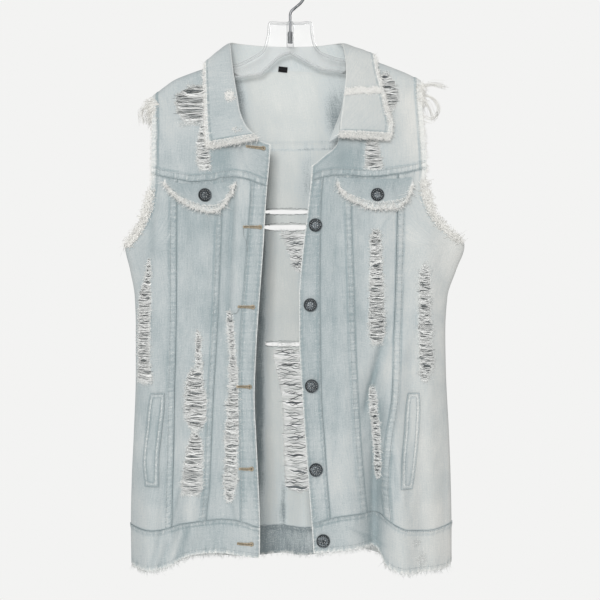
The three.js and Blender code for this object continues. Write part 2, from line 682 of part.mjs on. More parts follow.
function backPieces() {
  const lines = backLines();
  const rowsOfBody = linesBetween(lines.band, lines.yoke, backShares);
  const stretches = {
    back_right_side: linesBetween(lines.right, lines.rightSeam, fromSide, false),
    back_centre: linesBetween(lines.rightSeam, lines.leftSeam, centreBackShares),
    back_left_side: linesBetween(lines.leftSeam, lines.left, sideShares, true, false),
  };
  const acrossAll = joinLines(
    linesBetween(lines.right, lines.rightSeam, fromSide, false, false),
    linesBetween(lines.rightSeam, lines.leftSeam, centreBackShares, false, false),
    linesBetween(lines.leftSeam, lines.left, sideShares, false, false),
  );
  const pieces = Object.entries(stretches).map(([name, columnLines]) => {
    const grid = clothGrid(1, columnLines, rowsOfBody);
    return { name, grid, geometry: rip(name, 1, wall(grid, clothThickness)), colour: washedDenim };
  });
  const yokeGrid = clothGrid(1, acrossAll, yokeRows(lines.yoke, lines.top, [0, 0.5]));
  pieces.push(plainPiece('back_yoke', yokeGrid, paleDenim));
  const bandGrid = clothGrid(1, acrossAll, linesBetween(lines.hem, lines.band, bandShares, false));
  pieces.push(plainPiece('back_hem_band', bandGrid, washedDenim));
  return pieces;
}

// Points of a grid with normals worked out from their neighbours.
function withNormals(points, towards) {
  const rows = points.length;
  const columns = points[0].length;
  return points.map((row, i) => row.map((point, j) => {
    const along1 = points[i][Math.min(j + 1, columns - 1)].clone().sub(points[i][Math.max(j - 1, 0)]);
    const along2 = points[Math.min(i + 1, rows - 1)][j].clone().sub(points[Math.max(i - 1, 0)][j]);
    const normal = along1.cross(along2).normalize();
    return { point, normal: normal.dot(towards(point)) < 0 ? normal.negate() : normal };
  }));
}

const collarShares = [0, 0.08, 0.25, 0.5, 0.75, 1];
const collarBulge = [0, 2, 3.2, 3, 1.6, 0];
const collarStretches = 26;
const standClear = 0.6;

function collarLines() {
  const curve = (part) => new THREE.CatmullRomCurve3(
    collar.map((row) => new THREE.Vector3(...row[part])), false, 'centripetal');
  const sample = (part) => evenShares(collarStretches).map((share) => curve(part).getPoint(share));
  return { neck: sample('neck'), roll: sample('roll'), edge: sample('edge') };
}

// Which way is out of the collar at each station: square to the roll and to the fall.
function collarOut(lines, k) {
  const before = lines.roll[Math.max(k - 1, 0)];
  const after = lines.roll[Math.min(k + 1, collarStretches)];
  const way = after.clone().sub(before).cross(lines.edge[k].clone().sub(lines.roll[k])).normalize();
  const away = new THREE.Vector3(lines.roll[k].x * 0.3, lines.roll[k].y, 4);
  return way.dot(away) < 0 ? way.negate() : way;
}

function collarFallGrid(lines) {
  const points = collarShares.map((share, i) => lines.roll.map((roll, k) => (
    roll.clone().lerp(lines.edge[k], share).addScaledVector(collarOut(lines, k), collarBulge[i]))));
  const lining = withNormals(points, (point) => collarOut(lines, nearest(lines.roll, lines.edge, point)));
  return lining.map((row) => row.map(({ point, normal }) => (
    { point: point.clone().addScaledVector(normal, collarThickness), normal })));
}

function nearest(first, second, point) {
  const distance = (k) => {
    const line = new THREE.Line3(first[k], second[k]);
    return line.closestPointToPoint(point, true, new THREE.Vector3()).distanceTo(point);
  };
  return first.reduce((best, _, k) => (distance(k) < distance(best) ? k : best), 0);
}

function collarStandGrid(lines) {
  const points = [0, 0.5, 1].map((share) => lines.roll.map((roll, k) => {
    const neck = lines.neck[k];
    const top = roll.clone().addScaledVector(neck.clone().sub(roll).normalize(), standClear);
    return neck.clone().lerp(top, share);
  }));
  return withNormals(points, (point) => {
    const k = nearest(lines.neck, lines.roll, point);
    return lines.edge[k].clone().sub(lines.roll[k]);
  });
}

// Where a line from the front, or from the back, meets the pieces given.
function drapeOn(meshes, side) {
  const caster = new THREE.Raycaster();
  return (x, height, out) => {
    for (const nudge of [0, 0.5, -0.5, 1]) {
      caster.set(new THREE.Vector3(x + nudge, side * 200, height + nudge), new THREE.Vector3(0, -side, 0));
      const hit = caster.intersectObjects(meshes, false)[0];
      if (hit && hit.point.y * side > -4) {
        const { normal } = onCloth(side, x, height);
        return { point: new THREE.Vector3(x, hit.point.y, height).addScaledVector(normal, out), normal };
      }
    }
    return onCloth(side, x, height, out);
  };
}

const flapSeat = 0.7;
const flapLift = 3.5;
const weltSeat = 1;
const weltRows = 10;

function flapGrid(hand, outline, drape) {
  const rows = [1, 0.72, 0.4, 0.14, 0];
  return rows.map((share) => outline.map(({ out, low, top }) => {
    const height = lerp(low, top, share);
    return drape(hand * out, height, flapSeat + flapThickness + flapLift * (1 - share) ** 1.5);
  }));
}

function weltGrid(hand, outline, drape) {
  return evenShares(weltRows).map((up) => evenShares(3).map((share) => {
    const height = lerp(outline[0].height, outline.at(-1).height, up);
    const inner = along(outline, 'height', 'inner', height);
    const outer = along(outline, 'height', 'outer', height);
    return drape(hand * lerp(inner, outer, share), height, weltSeat + weltThickness);
  }));
}

// The left front's top corner, turned back behind the yoke along a slanting fold.
function turnedCornerGrid() {
  const foldLow = { x: 33, height: 588 };
  const foldHigh = { x: 67, height: 615 };
  const tip = { x: 66, height: 577 };
  const behind = clothThickness * 2 + 1;
  return [0.08, 0.5, 0.92].map((share) => evenShares(3).map((along01) => {
    const x = lerp(lerp(foldLow.x, foldHigh.x, along01), tip.x, share);
    const height = lerp(lerp(foldLow.height, foldHigh.height, along01), tip.height, share);
    const { point, normal } = onCloth(-1, x, height, -behind);
    return { point, normal: normal.negate() };
  }));
}

// A jeans button: a short shank, a dished cap and a rolled rim.
function buttonGeometry() {
  const rim = buttonRadius;
  const profile = [
    [0, 0], [4, 0], [4, 1.2], [rim, 1.6], [rim, 2.9], [rim - 1.2, buttonHeight], [rim - 2.4, 3], [0, 3.3],
  ];
  return new THREE.LatheGeometry(profile.map(([x, y]) => new THREE.Vector2(x, y)), 11);
}

function placeButton(mesh, point, normal) {
  mesh.position.copy(point);
  mesh.quaternion.setFromUnitVectors(new THREE.Vector3(0, 1, 0), normal);
}

const strandRoot = 1.5;

// Fray along an edge: a narrow strip just off the edge with threads standing out of it.
function fringe(rim, { width, thickness, count, long, short, root, droop }) {
  const strip = [seamGap * 1.6, width].map((reach) => rim.map(({ point, normal, out }) => (
    { point: point.clone().addScaledVector(out, reach), normal })));
  let solid = toSolid(wall(strip, thickness));
  for (let k = 0; k < count; k += 1) {
    const place = ((k + 0.5 + 0.5 * (scatter(k * 1.7 + count) - 0.5)) / count) * (rim.length - 1);
    const i = Math.min(Math.floor(place), rim.length - 2);
    const mix = (key) => rim[i][key].clone().lerp(rim[i + 1][key], place - i);
    const out = mix('out').normalize();
    const sideways = rim[i + 1].point.clone().sub(rim[i].point).normalize();
    const way = out.clone().addScaledVector(sideways, 0.7 * (scatter(k + 0.3) - 0.5));
    way.z -= droop * (0.6 + 0.8 * scatter(k + 0.9));
    way.normalize();
    const reach = lerp(long, short, place / (rim.length - 1)) * (0.65 + 0.7 * scatter(k * 2.3 + 0.5));
    const strand = new THREE.ConeGeometry(root, reach + strandRoot, 3, 1, false);
    strand.translate(0, (reach + strandRoot) / 2, 0);
    strand.applyQuaternion(new THREE.Quaternion().setFromUnitVectors(new THREE.Vector3(0, 1, 0), way));
    const foot = mix('point').addScaledVector(out, width - strandRoot);
    foot.addScaledVector(mix('normal'), -thickness / 2);
    strand.translate(foot.x, foot.y, foot.z);
    solid = solid.add(toSolid(strand));
  }
  return fromSolid(solid);
}

// The edge of a grid with the way out of the piece at each of its points.
function rimOf(edge, inside) {
  return edge.map(({ point, normal }, k) => {
    const out = point.clone().sub(inside[k].point);
    out.addScaledVector(normal, -out.dot(normal)).normalize();
    return { point, normal, out };
  });
}

function hangerBody() {
  const half = (rows, hand, inset) => {
    const kept = inset > 0 ? rows.slice(0, -1) : rows;
    return {
      top: kept.map((row) => new THREE.Vector2(hand * row.out, row.top - inset)),
      bottom: kept.map((row) => new THREE.Vector2(hand * row.out, row.bottom + inset)),
    };
  };
  const outline = (inset) => {
    const right = half(rightHanger, -1, inset);
    const left = half(leftHanger, 1, inset);
    return [...right.bottom.reverse(), ...left.bottom.slice(1), ...left.top.reverse(), ...right.top.slice(1)];
  };
  const plate = (points, depth) => {
    const geometry = new THREE.ExtrudeGeometry(new THREE.Shape(points), { depth, bevelEnabled: false });
    geometry.rotateX(Math.PI / 2);
    geometry.translate(0, depth / 2, 0);
    return toSolid(geometry);
  };
  const whole = outline(0);
  const inner = outline(hangerRimDepth);
  const rod = (radius, foot, top) => {
    const geometry = new THREE.CylinderGeometry(radius, radius, top - foot, 12);
    geometry.rotateX(Math.PI / 2);
    geometry.translate(0, 0, (foot + top) / 2);
    return toSolid(geometry);
  };
  const body = plate(whole, hangerRim).subtract(plate(inner, hangerRim + 2)).add(plate(whole, hangerWeb));
  const bossed = body.add(rod(bossRadius, bossFoot, hangerTop));
  return fromSolid(bossed.subtract(rod(ferruleRadius + seamGap, ferruleFoot - seamGap, hangerTop + 1)));
}

// The collar of metal that holds the wire in the hanger's neck.
function hookFerrule() {
  const bore = hookWire / 2 + seamGap;
  const profile = [
    [bore, 0], [ferruleRadius, 0], [ferruleRadius, ferruleHeight], [bore, ferruleHeight], [bore, 0],
  ];
  const geometry = new THREE.LatheGeometry(profile.map(([x, y]) => new THREE.Vector2(x, y)), 12);
  geometry.rotateX(Math.PI / 2);
  geometry.translate(0, 0, ferruleFoot);
  return geometry;
}

// The wire goes up from the hanger's neck, leans out and turns over in a round loop.
function hangerHook() {
  const points = [
    new THREE.Vector3(0, 0, ferruleFoot),
    new THREE.Vector3(0, 0, hookStemTop - 8),
    new THREE.Vector3(0, 0, hookStemTop),
    new THREE.Vector3(6, 0, hookStemTop + 8),
    new THREE.Vector3(16, 0, hookStemTop + 16),
  ];
  const turn = THREE.MathUtils.degToRad(225);
  const steps = 14;
  for (let k = 0; k <= steps; k += 1) {
    const angle = THREE.MathUtils.degToRad(-15) + (turn * k) / steps;
    points.push(new THREE.Vector3(
      hookRadius * Math.cos(angle), 0, hookCentreHeight + hookRadius * Math.sin(angle)));
  }
  const path = new THREE.CatmullRomCurve3(points, false, 'centripetal');
  const section = new THREE.Shape();
  section.absarc(0, 0, hookWire / 2, 0, Math.PI * 2, false);
  const extrusion = { extrudePath: path, steps: 28, curveSegments: 4, bevelEnabled: false };
  return new THREE.ExtrudeGeometry(section, extrusion);
}

const labelWidth = 14;
const labelHeight = 10;
const labelPlace = { x: -11, y: 15.9, height: 737 };

function build() {
  const group = new THREE.Group();
  const add = (name, geometry, colour, looks = {}) => {
    const { roughness = 0.9, metalness = 0, opacity = 1 } = looks;
    const material = new THREE.MeshStandardMaterial({
      color: colour, roughness, metalness, opacity, transparent: opacity < 1 });
    const mesh = new THREE.Mesh(geometry, material);
    mesh.name = name;
    group.add(mesh);
    return mesh;
  };
  const pieces = [...frontPieces(-1, 'right'), ...frontPieces(1, 'left'), ...backPieces()];
  const grids = {};
  const fronts = [];
  for (const { name, grid, geometry, colour } of pieces) {
    const mesh = add(name, geometry, colour);
    grids[name] = grid;
    if (!name.startsWith('back')) fronts.push(mesh);
  }
  group.updateMatrixWorld(true);
  const drape = drapeOn(fronts, -1);
  const whole = outlineMeshes(grids);
  const drapeWhole = drapeOn(whole, -1);

  const lines = collarLines();
  const fall = collarFallGrid(lines);
  add('collar_fall', wall(fall, collarThickness), washedDenim);
  add('collar_stand', wall(collarStandGrid(lines), collarThickness), paleDenim);

  const flaps = { right: flapGrid(-1, rightFlap, drapeWhole), left: flapGrid(1, leftFlap, drapeWhole) };
  const welts = { right: weltGrid(-1, rightWelt, drapeWhole), left: weltGrid(1, leftWelt, drapeWhole) };
  for (const label of ['right', 'left']) {
    add(`${label}_pocket_flap`, wall(flaps[label], flapThickness), washedDenim);
    add(`${label}_welt_pocket`, wall(welts[label], weltThickness), washedDenim);
  }
  const corner = turnedCornerGrid();
  add('left_turned_corner', wall(corner, clothThickness), paleDenim);

  const metal = { roughness: 0.4, metalness: 0.9 };
  for (const { name, across, height } of buttons) {
    const seat = drape(across, height, buttonSeat);
    placeButton(add(name, buttonGeometry(), pewter, metal), seat.point, seat.normal);
  }
  for (const { name, flap, across, height } of flapButtons) {
    const seat = drapeOn([group.getObjectByName(flap)], -1)(across, height, buttonSeat);
    placeButton(add(name, buttonGeometry(), pewter, metal), seat.point, seat.normal);
  }
  const hidden = corner[1][1];
  const hiddenSeat = hidden.point.clone().addScaledVector(hidden.normal, buttonSeat);
  placeButton(add('placket_button_1', buttonGeometry(), pewter, metal), hiddenSeat, hidden.normal);

  addFringes(add, grids, fall, flaps);

  const label = new THREE.BoxGeometry(labelWidth, 0.8, labelHeight);
  add('neck_label', label, 0x17181a).position.set(labelPlace.x, labelPlace.y, labelPlace.height);

  add('hanger_body', hangerBody(), 0xeef1f2, { roughness: 0.08, opacity: 0.35 });
  add('hook_ferrule', hookFerrule(), 0xa9adb2, { roughness: 0.3, metalness: 1 });
  add('hanger_hook', hangerHook(), 0xb9bcc0, { roughness: 0.2, metalness: 1 });
  group.position.z = -(hookCentreHeight + hookRadius - hookWire / 2);
  const part = new THREE.Group();
  part.add(group);
  return part;
}

// Uncut front walls, for laying pieces on without falling through a rip.
function outlineMeshes(grids) {
  return Object.entries(grids)
    .filter(([name]) => !name.startsWith('back'))
    .map(([, grid]) => new THREE.Mesh(wall(grid, clothThickness), new THREE.MeshBasicMaterial()));
}

// Strip width and thickness, number of strands, their length at the rim's start and end, root and droop.
const armholeFray = { width: 5, thickness: 2.4, count: 18, long: 18, short: 9, root: 1, droop: 0.35 };
const collarFray = { width: 3.5, thickness: 2.2, count: 22, long: 5, short: 5, root: 0.9, droop: 0.1 };
const flapFray = { width: 3.5, thickness: 2.2, count: 15, long: 5, short: 5, root: 0.9, droop: 0.1 };
const hemFray = { width: 2.6, thickness: 2, count: 18, long: 5, short: 5, root: 0.85, droop: 0 };

const rowsAtArmhole = 4;

function addFringes(add, grids, fall, flaps) {
  const addArmhole = (name, panel, yoke, fromEnd) => {
    const pick = (row, k) => row[fromEnd ? row.length - 1 - k : k];
    const rows = [...panel.slice(-rowsAtArmhole, -1), ...yoke.slice(0, -3)];
    const rim = rimOf(rows.map((row) => pick(row, 0)), rows.map((row) => pick(row, 2)));
    add(name, fringe(rim, armholeFray), frayWhite);
  };
  addArmhole('right_armhole_fray_front', grids.right_side_front, grids.right_yoke, false);
  addArmhole('left_armhole_fray_front', grids.left_side_front, grids.left_yoke, false);
  addArmhole('right_armhole_fray_back', grids.back_right_side, grids.back_yoke, false);
  addArmhole('left_armhole_fray_back', grids.back_left_side, grids.back_yoke, true);
  for (const label of ['right', 'left']) {
    const flap = flaps[label];
    add(`${label}_flap_fray`, fringe(rimOf(flap.at(-1), flap.at(-2)), flapFray), frayWhite);
    const band = grids[`${label}_hem_band`];
    add(`${label}_hem_fray`, fringe(rimOf(band[0], band[1]), hemFray), frayWhite);
  }
  add('back_hem_fray', fringe(rimOf(grids.back_hem_band[0], grids.back_hem_band[1]), hemFray), frayWhite);
  const frontEnd = 7;
  const outerEdge = rimOf(fall.at(-1), fall.at(-2));
  add('right_collar_fray', fringe(outerEdge.slice(0, frontEnd), collarFray), frayWhite);
  add('left_collar_fray', fringe(outerEdge.slice(-frontEnd), collarFray), frayWhite);
}

export default build();
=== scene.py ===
# A long washed denim vest, ripped and frayed, hanging open on a clear plastic hanger.
import math
import bmesh
import bpy
import numpy as np
from mathutils import Matrix, Vector


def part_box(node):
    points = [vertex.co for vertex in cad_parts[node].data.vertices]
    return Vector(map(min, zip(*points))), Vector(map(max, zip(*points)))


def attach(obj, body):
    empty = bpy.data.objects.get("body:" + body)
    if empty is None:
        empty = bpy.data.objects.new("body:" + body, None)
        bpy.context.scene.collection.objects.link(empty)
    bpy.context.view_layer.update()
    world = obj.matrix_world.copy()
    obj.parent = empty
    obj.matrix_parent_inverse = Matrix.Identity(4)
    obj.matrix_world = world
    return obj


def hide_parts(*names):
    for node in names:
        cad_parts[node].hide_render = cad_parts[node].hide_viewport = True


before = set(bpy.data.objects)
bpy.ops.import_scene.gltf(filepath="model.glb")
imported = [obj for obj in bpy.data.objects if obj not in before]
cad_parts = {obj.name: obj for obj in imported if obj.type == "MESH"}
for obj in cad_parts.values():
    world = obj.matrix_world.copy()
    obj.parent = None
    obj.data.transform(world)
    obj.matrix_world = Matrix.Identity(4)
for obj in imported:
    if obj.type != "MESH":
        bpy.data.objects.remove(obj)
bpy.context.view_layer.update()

print("frame loaded")

mm = 0.001
seeds = {"stitches": 11, "rips": 23, "fray": 37, "trim": 53, "buttonholes": 61}
hangHeight = 864  # from the lowest hem up to the inside of the hook, where the frame has its origin
seamGap = 0.3
shoulderRoll = 14
neckHalf = 97
neckRise = 1.5
ringPower = 0.8

# Half widths and depths of the hanging cloth at each height
bodyTable = {
    "height": [0, 74, 130, 200, 290, 350, 400, 440, 475, 520, 600, 650, 700, 750],
    "front": [50, 50, 48, 46, 42, 40, 38, 36, 35, 32, 26, 20, 15, 12],
    "back": [42, 42, 41, 40, 38, 37, 35, 34, 33, 31, 26, 24, 20, 17],
    "right": [232, 233, 232, 229, 226, 226, 227.5, 234.5, 242, 243, 246, 248, 250, 250],
    "left": [236, 236, 235, 232.5, 228, 227, 230, 243, 255, 255, 250, 248, 246, 246],
}
shoulderTables = {-1: {
    "out": [97, 125, 147, 169, 183, 195, 203],
    "height": [742, 734.5, 727, 718, 708.5, 699, 691],
}, 1: {
    "out": [97, 121, 139, 153, 168, 183, 191],
    "height": [751, 746, 740, 734.5, 728.5, 721, 716],
}}
armholeTables = {-1: {
    "height": [472, 487, 507, 533, 579, 640, 680, 691],
    "out": [241.5, 226.5, 213.5, 205, 200.5, 200.5, 201.5, 203],
}, 1: {
    "height": [478, 493, 507, 533, 560, 586, 641, 684, 716],
    "out": [254.5, 231, 216.5, 201, 195, 197, 194.5, 191.5, 190.5],
}}

# Seams of each front, out from the middle; the left front's edge crosses it
frontSeamTables = {-1: {
    "height": [0, 74, 130, 200, 260, 330, 400, 470, 540, 626, 745],
    "outer": [170, 169, 168, 166.5, 166, 164, 163, 163, 163, 163, 163],
    "inner": [121, 119.5, 114.5, 111.5, 109, 105, 102, 99.5, 97.5, 96.5, 97],
    "placket": [70, 70, 70, 71.5, 73, 71.5, 67, 62, 57, 53, 53],
    "edge": [43, 42, 44, 47.5, 50, 47.5, 43, 38, 34, 28, 28],
}, 1: {
    "height": [0, 88, 126, 200, 260, 350, 400, 470, 540, 590, 755],
    "outer": [136, 134, 131, 136, 145, 149, 151, 153, 155, 156, 156],
    "inner": [116, 110.5, 106.5, 100.5, 97, 93, 92, 89.5, 88, 90, 97],
    "placket": [60, 57, 54, 49, 45, 43.5, 43, 43.5, 45, 50, 62],
    "edge": [36, 30, 27, 21.5, 17.5, 13, 13, 18.5, 27, 31, 31],
}}
backSeamTable = {
    "height": [0, 300, 620, 760],
    "right": [88, 92, 97, 97],
    "left": [88, 92, 97, 97],
}

# Hem, hem band seam and yoke seam against the distance out
frontRowTables = {-1: {
    "out": [28, 46, 66, 82, 97, 112, 140, 156, 170, 190, 203, 234],
    "hem": [29, 31, 34, 35, 36, 36, 33, 26, 17, 11, 10, 14],
    "band": [72, 75, 82, 84, 84, 83, 81, 77, 71, 67, 67, 71],
    "yoke": [558, 564, 571, 573.5, 572.5, 568.5, 566, 569, 571.5, 576, 579.5, 581],
}, 1: {
    "out": [13, 31, 50, 68, 80, 97, 116, 128, 136, 150, 168, 195, 222, 236],
    "hem": [35, 37, 39, 41, 42, 44, 45, 37, 20, 12, 9, 9, 9, 16],
    "band": [77, 79, 84, 89, 91, 92, 92, 91, 86, 77, 70, 67, 70, 74],
    "yoke": [566, 568, 573, 575.5, 575.5, 574.5, 573.5, 574, 575, 577, 580, 586, 587.5, 588],
}}
backRowTable = {
    "across": [-234, -203, -183, -147, -97, -80, -45, 0, 45, 80, 110, 153, 191, 236],
    "hem": [12, 12, 12, 12, 13, 13, 13, 14, 15, 21, 24, 14, 13, 16],
    "band": [66, 64, 62, 60, 58, 57, 56, 56, 56, 57, 58, 60, 64, 70],
    "yoke": [606, 608, 610, 613, 617, 618, 619, 619, 620, 620, 620, 618, 615, 613],
}
frontNeckTables = {
    -1: {"out": [28, 46, 66, 82, 97], "top": [620, 627, 643, 698, 742]},
    1: {"out": [13, 31, 50, 68, 80, 97], "top": [582, 589, 604, 621, 680, 751]},
}
backNeckTable = {
    "across": [-97, -80, -45, 0, 45, 80, 97],
    "top": [742, 728, 731.5, 735, 732.5, 731, 751],
}

# Folds and creases: rise, reach to each side, foot x, foot height, head x, head height, softened over
frontFolds = [
    (13, 26, -205, 0, -200, 70, 90),
    (8, 18, -144, 70, -142, 105, 25),
    (-7, 16, -176, 85, -172, 240, 80),
    (-5, 16, -90, 400, -86, 550, 50),
    (5, 16, -128, 360, -130, 540, 60),
    (5, 22, -60, 60, -62, 330, 120),
    (-5, 15, -100, 0, -94, 150, 60),
    (6, 18, -196, 330, -190, 500, 60),
    (15, 22, 162, 0, 158, 90, 130),
    (-13, 15, 122, 0, 120, 120, 130),
    (-6, 15, 118, 270, 141, 330, 25),
    (6, 15, 140, 225, 158, 320, 40),
    (6, 20, 80, 20, 74, 260, 110),
    (-5, 16, 168, 400, 170, 520, 50),
    (6, 18, 205, 20, 196, 420, 80),
    (-4, 16, 104, 380, 104, 520, 60),
]
backFolds = [
    (9, 20, -18, 0, -16, 60, 90),
    (-9, 16, 22, 0, 20, 90, 120),
    (8, 22, 70, 0, 60, 260, 140),
    (-7, 15, -70, 20, -64, 240, 150),
    (8, 24, -125, 0, -112, 300, 120),
    (-7, 16, 126, 0, 112, 330, 100),
    (8, 20, 178, 0, 166, 220, 130),
    (-6, 15, -176, 30, -168, 300, 90),
    (5, 26, -40, 420, -70, 560, 60),
    (-5, 18, 40, 430, 64, 570, 50),
]
frontCreases = [
    (-1.9, 4, -90, 382, -82, 553, 12),
    (1.1, 5, -79, 390, -73, 545, 15),
    (-1.6, 3.5, -169, 82, -160, 122, 8),
    (-1.4, 3.5, -119, 82, -121, 125, 8),
    (1.6, 9, -141, 84, -141, 112, 10),
    (-1.3, 3, -78, 82, -87, 118, 8),
    (-2.4, 5, -164, 14, -146, 68, 8),
    (1.6, 5, -174, 12, -156, 66, 8),
    (-1.6, 4, -184, 16, -168, 64, 6),
    (-1.2, 3.5, -196, 20, -186, 60, 6),
    (-1.4, 6, -201, 440, -198, 560, 15),
    (-1.2, 3, -59, 571, -71, 612, 6),
    (-1, 4, -120, 600, -112, 690, 12),
    (-1.2, 5, -40, 180, -46, 330, 20),
    (0.9, 6, -150, 230, -152, 330, 20),
    (-1.6, 5, 118, 272, 140, 332, 10),
    (1.2, 6, 130, 262, 150, 326, 10),
    (-6.5, 12, 118, 10, 124, 230, 34),
    (-4.4, 5, 110, 250, 136, 350, 14),
    (1.6, 5, 112, 40, 114, 210, 30),
    (-1.1, 2.6, 128, 494, 151, 525, 4),
    (-1.8, 4, 152, 118, 146, 172, 8),
    (1.1, 4, 160, 110, 154, 180, 8),
    (-1.7, 4, 126, 50, 92, 70, 5),
    (-1.4, 6, 224, 90, 226, 250, 40),
    (-1.2, 5, 60, 150, 68, 260, 20),
    (-1, 4, 62, 330, 66, 470, 16),
    (1.2, 7, 178, 120, 182, 300, 40),
    (-1, 4, 186, 300, 180, 380, 20),
    (-1.2, 4, 100, 590, 108, 660, 12),
]
backCreases = [
    (-1.6, 5, -12, 64, -20, 150, 10),
    (1.2, 6, -30, 60, -34, 190, 14),
    (-1.5, 4, 52, 60, 48, 210, 12),
    (-1.8, 6, -150, 80, -120, 260, 20),
    (1.3, 7, -166, 70, -140, 240, 20),
    (-1.6, 5, 148, 60, 120, 300, 20),
    (1.2, 6, 196, 90, 170, 330, 24),
    (-1.4, 5, 205, 120, 186, 380, 24),
    (-1.3, 5, -206, 150, -196, 420, 24),
    (-1.2, 6, -40, 360, -96, 470, 14),
    (1, 7, 60, 350, 110, 480, 16),
    (-1.5, 4, 14, 18, 22, 54, 5),
    (-1.4, 4, -46, 18, -38, 54, 5),
    (-1.3, 4, 90, 18, 84, 54, 5),
    (-1.2, 5, -60, 640, -110, 700, 10),
    (-1.1, 5, 70, 640, 120, 705, 10),
]

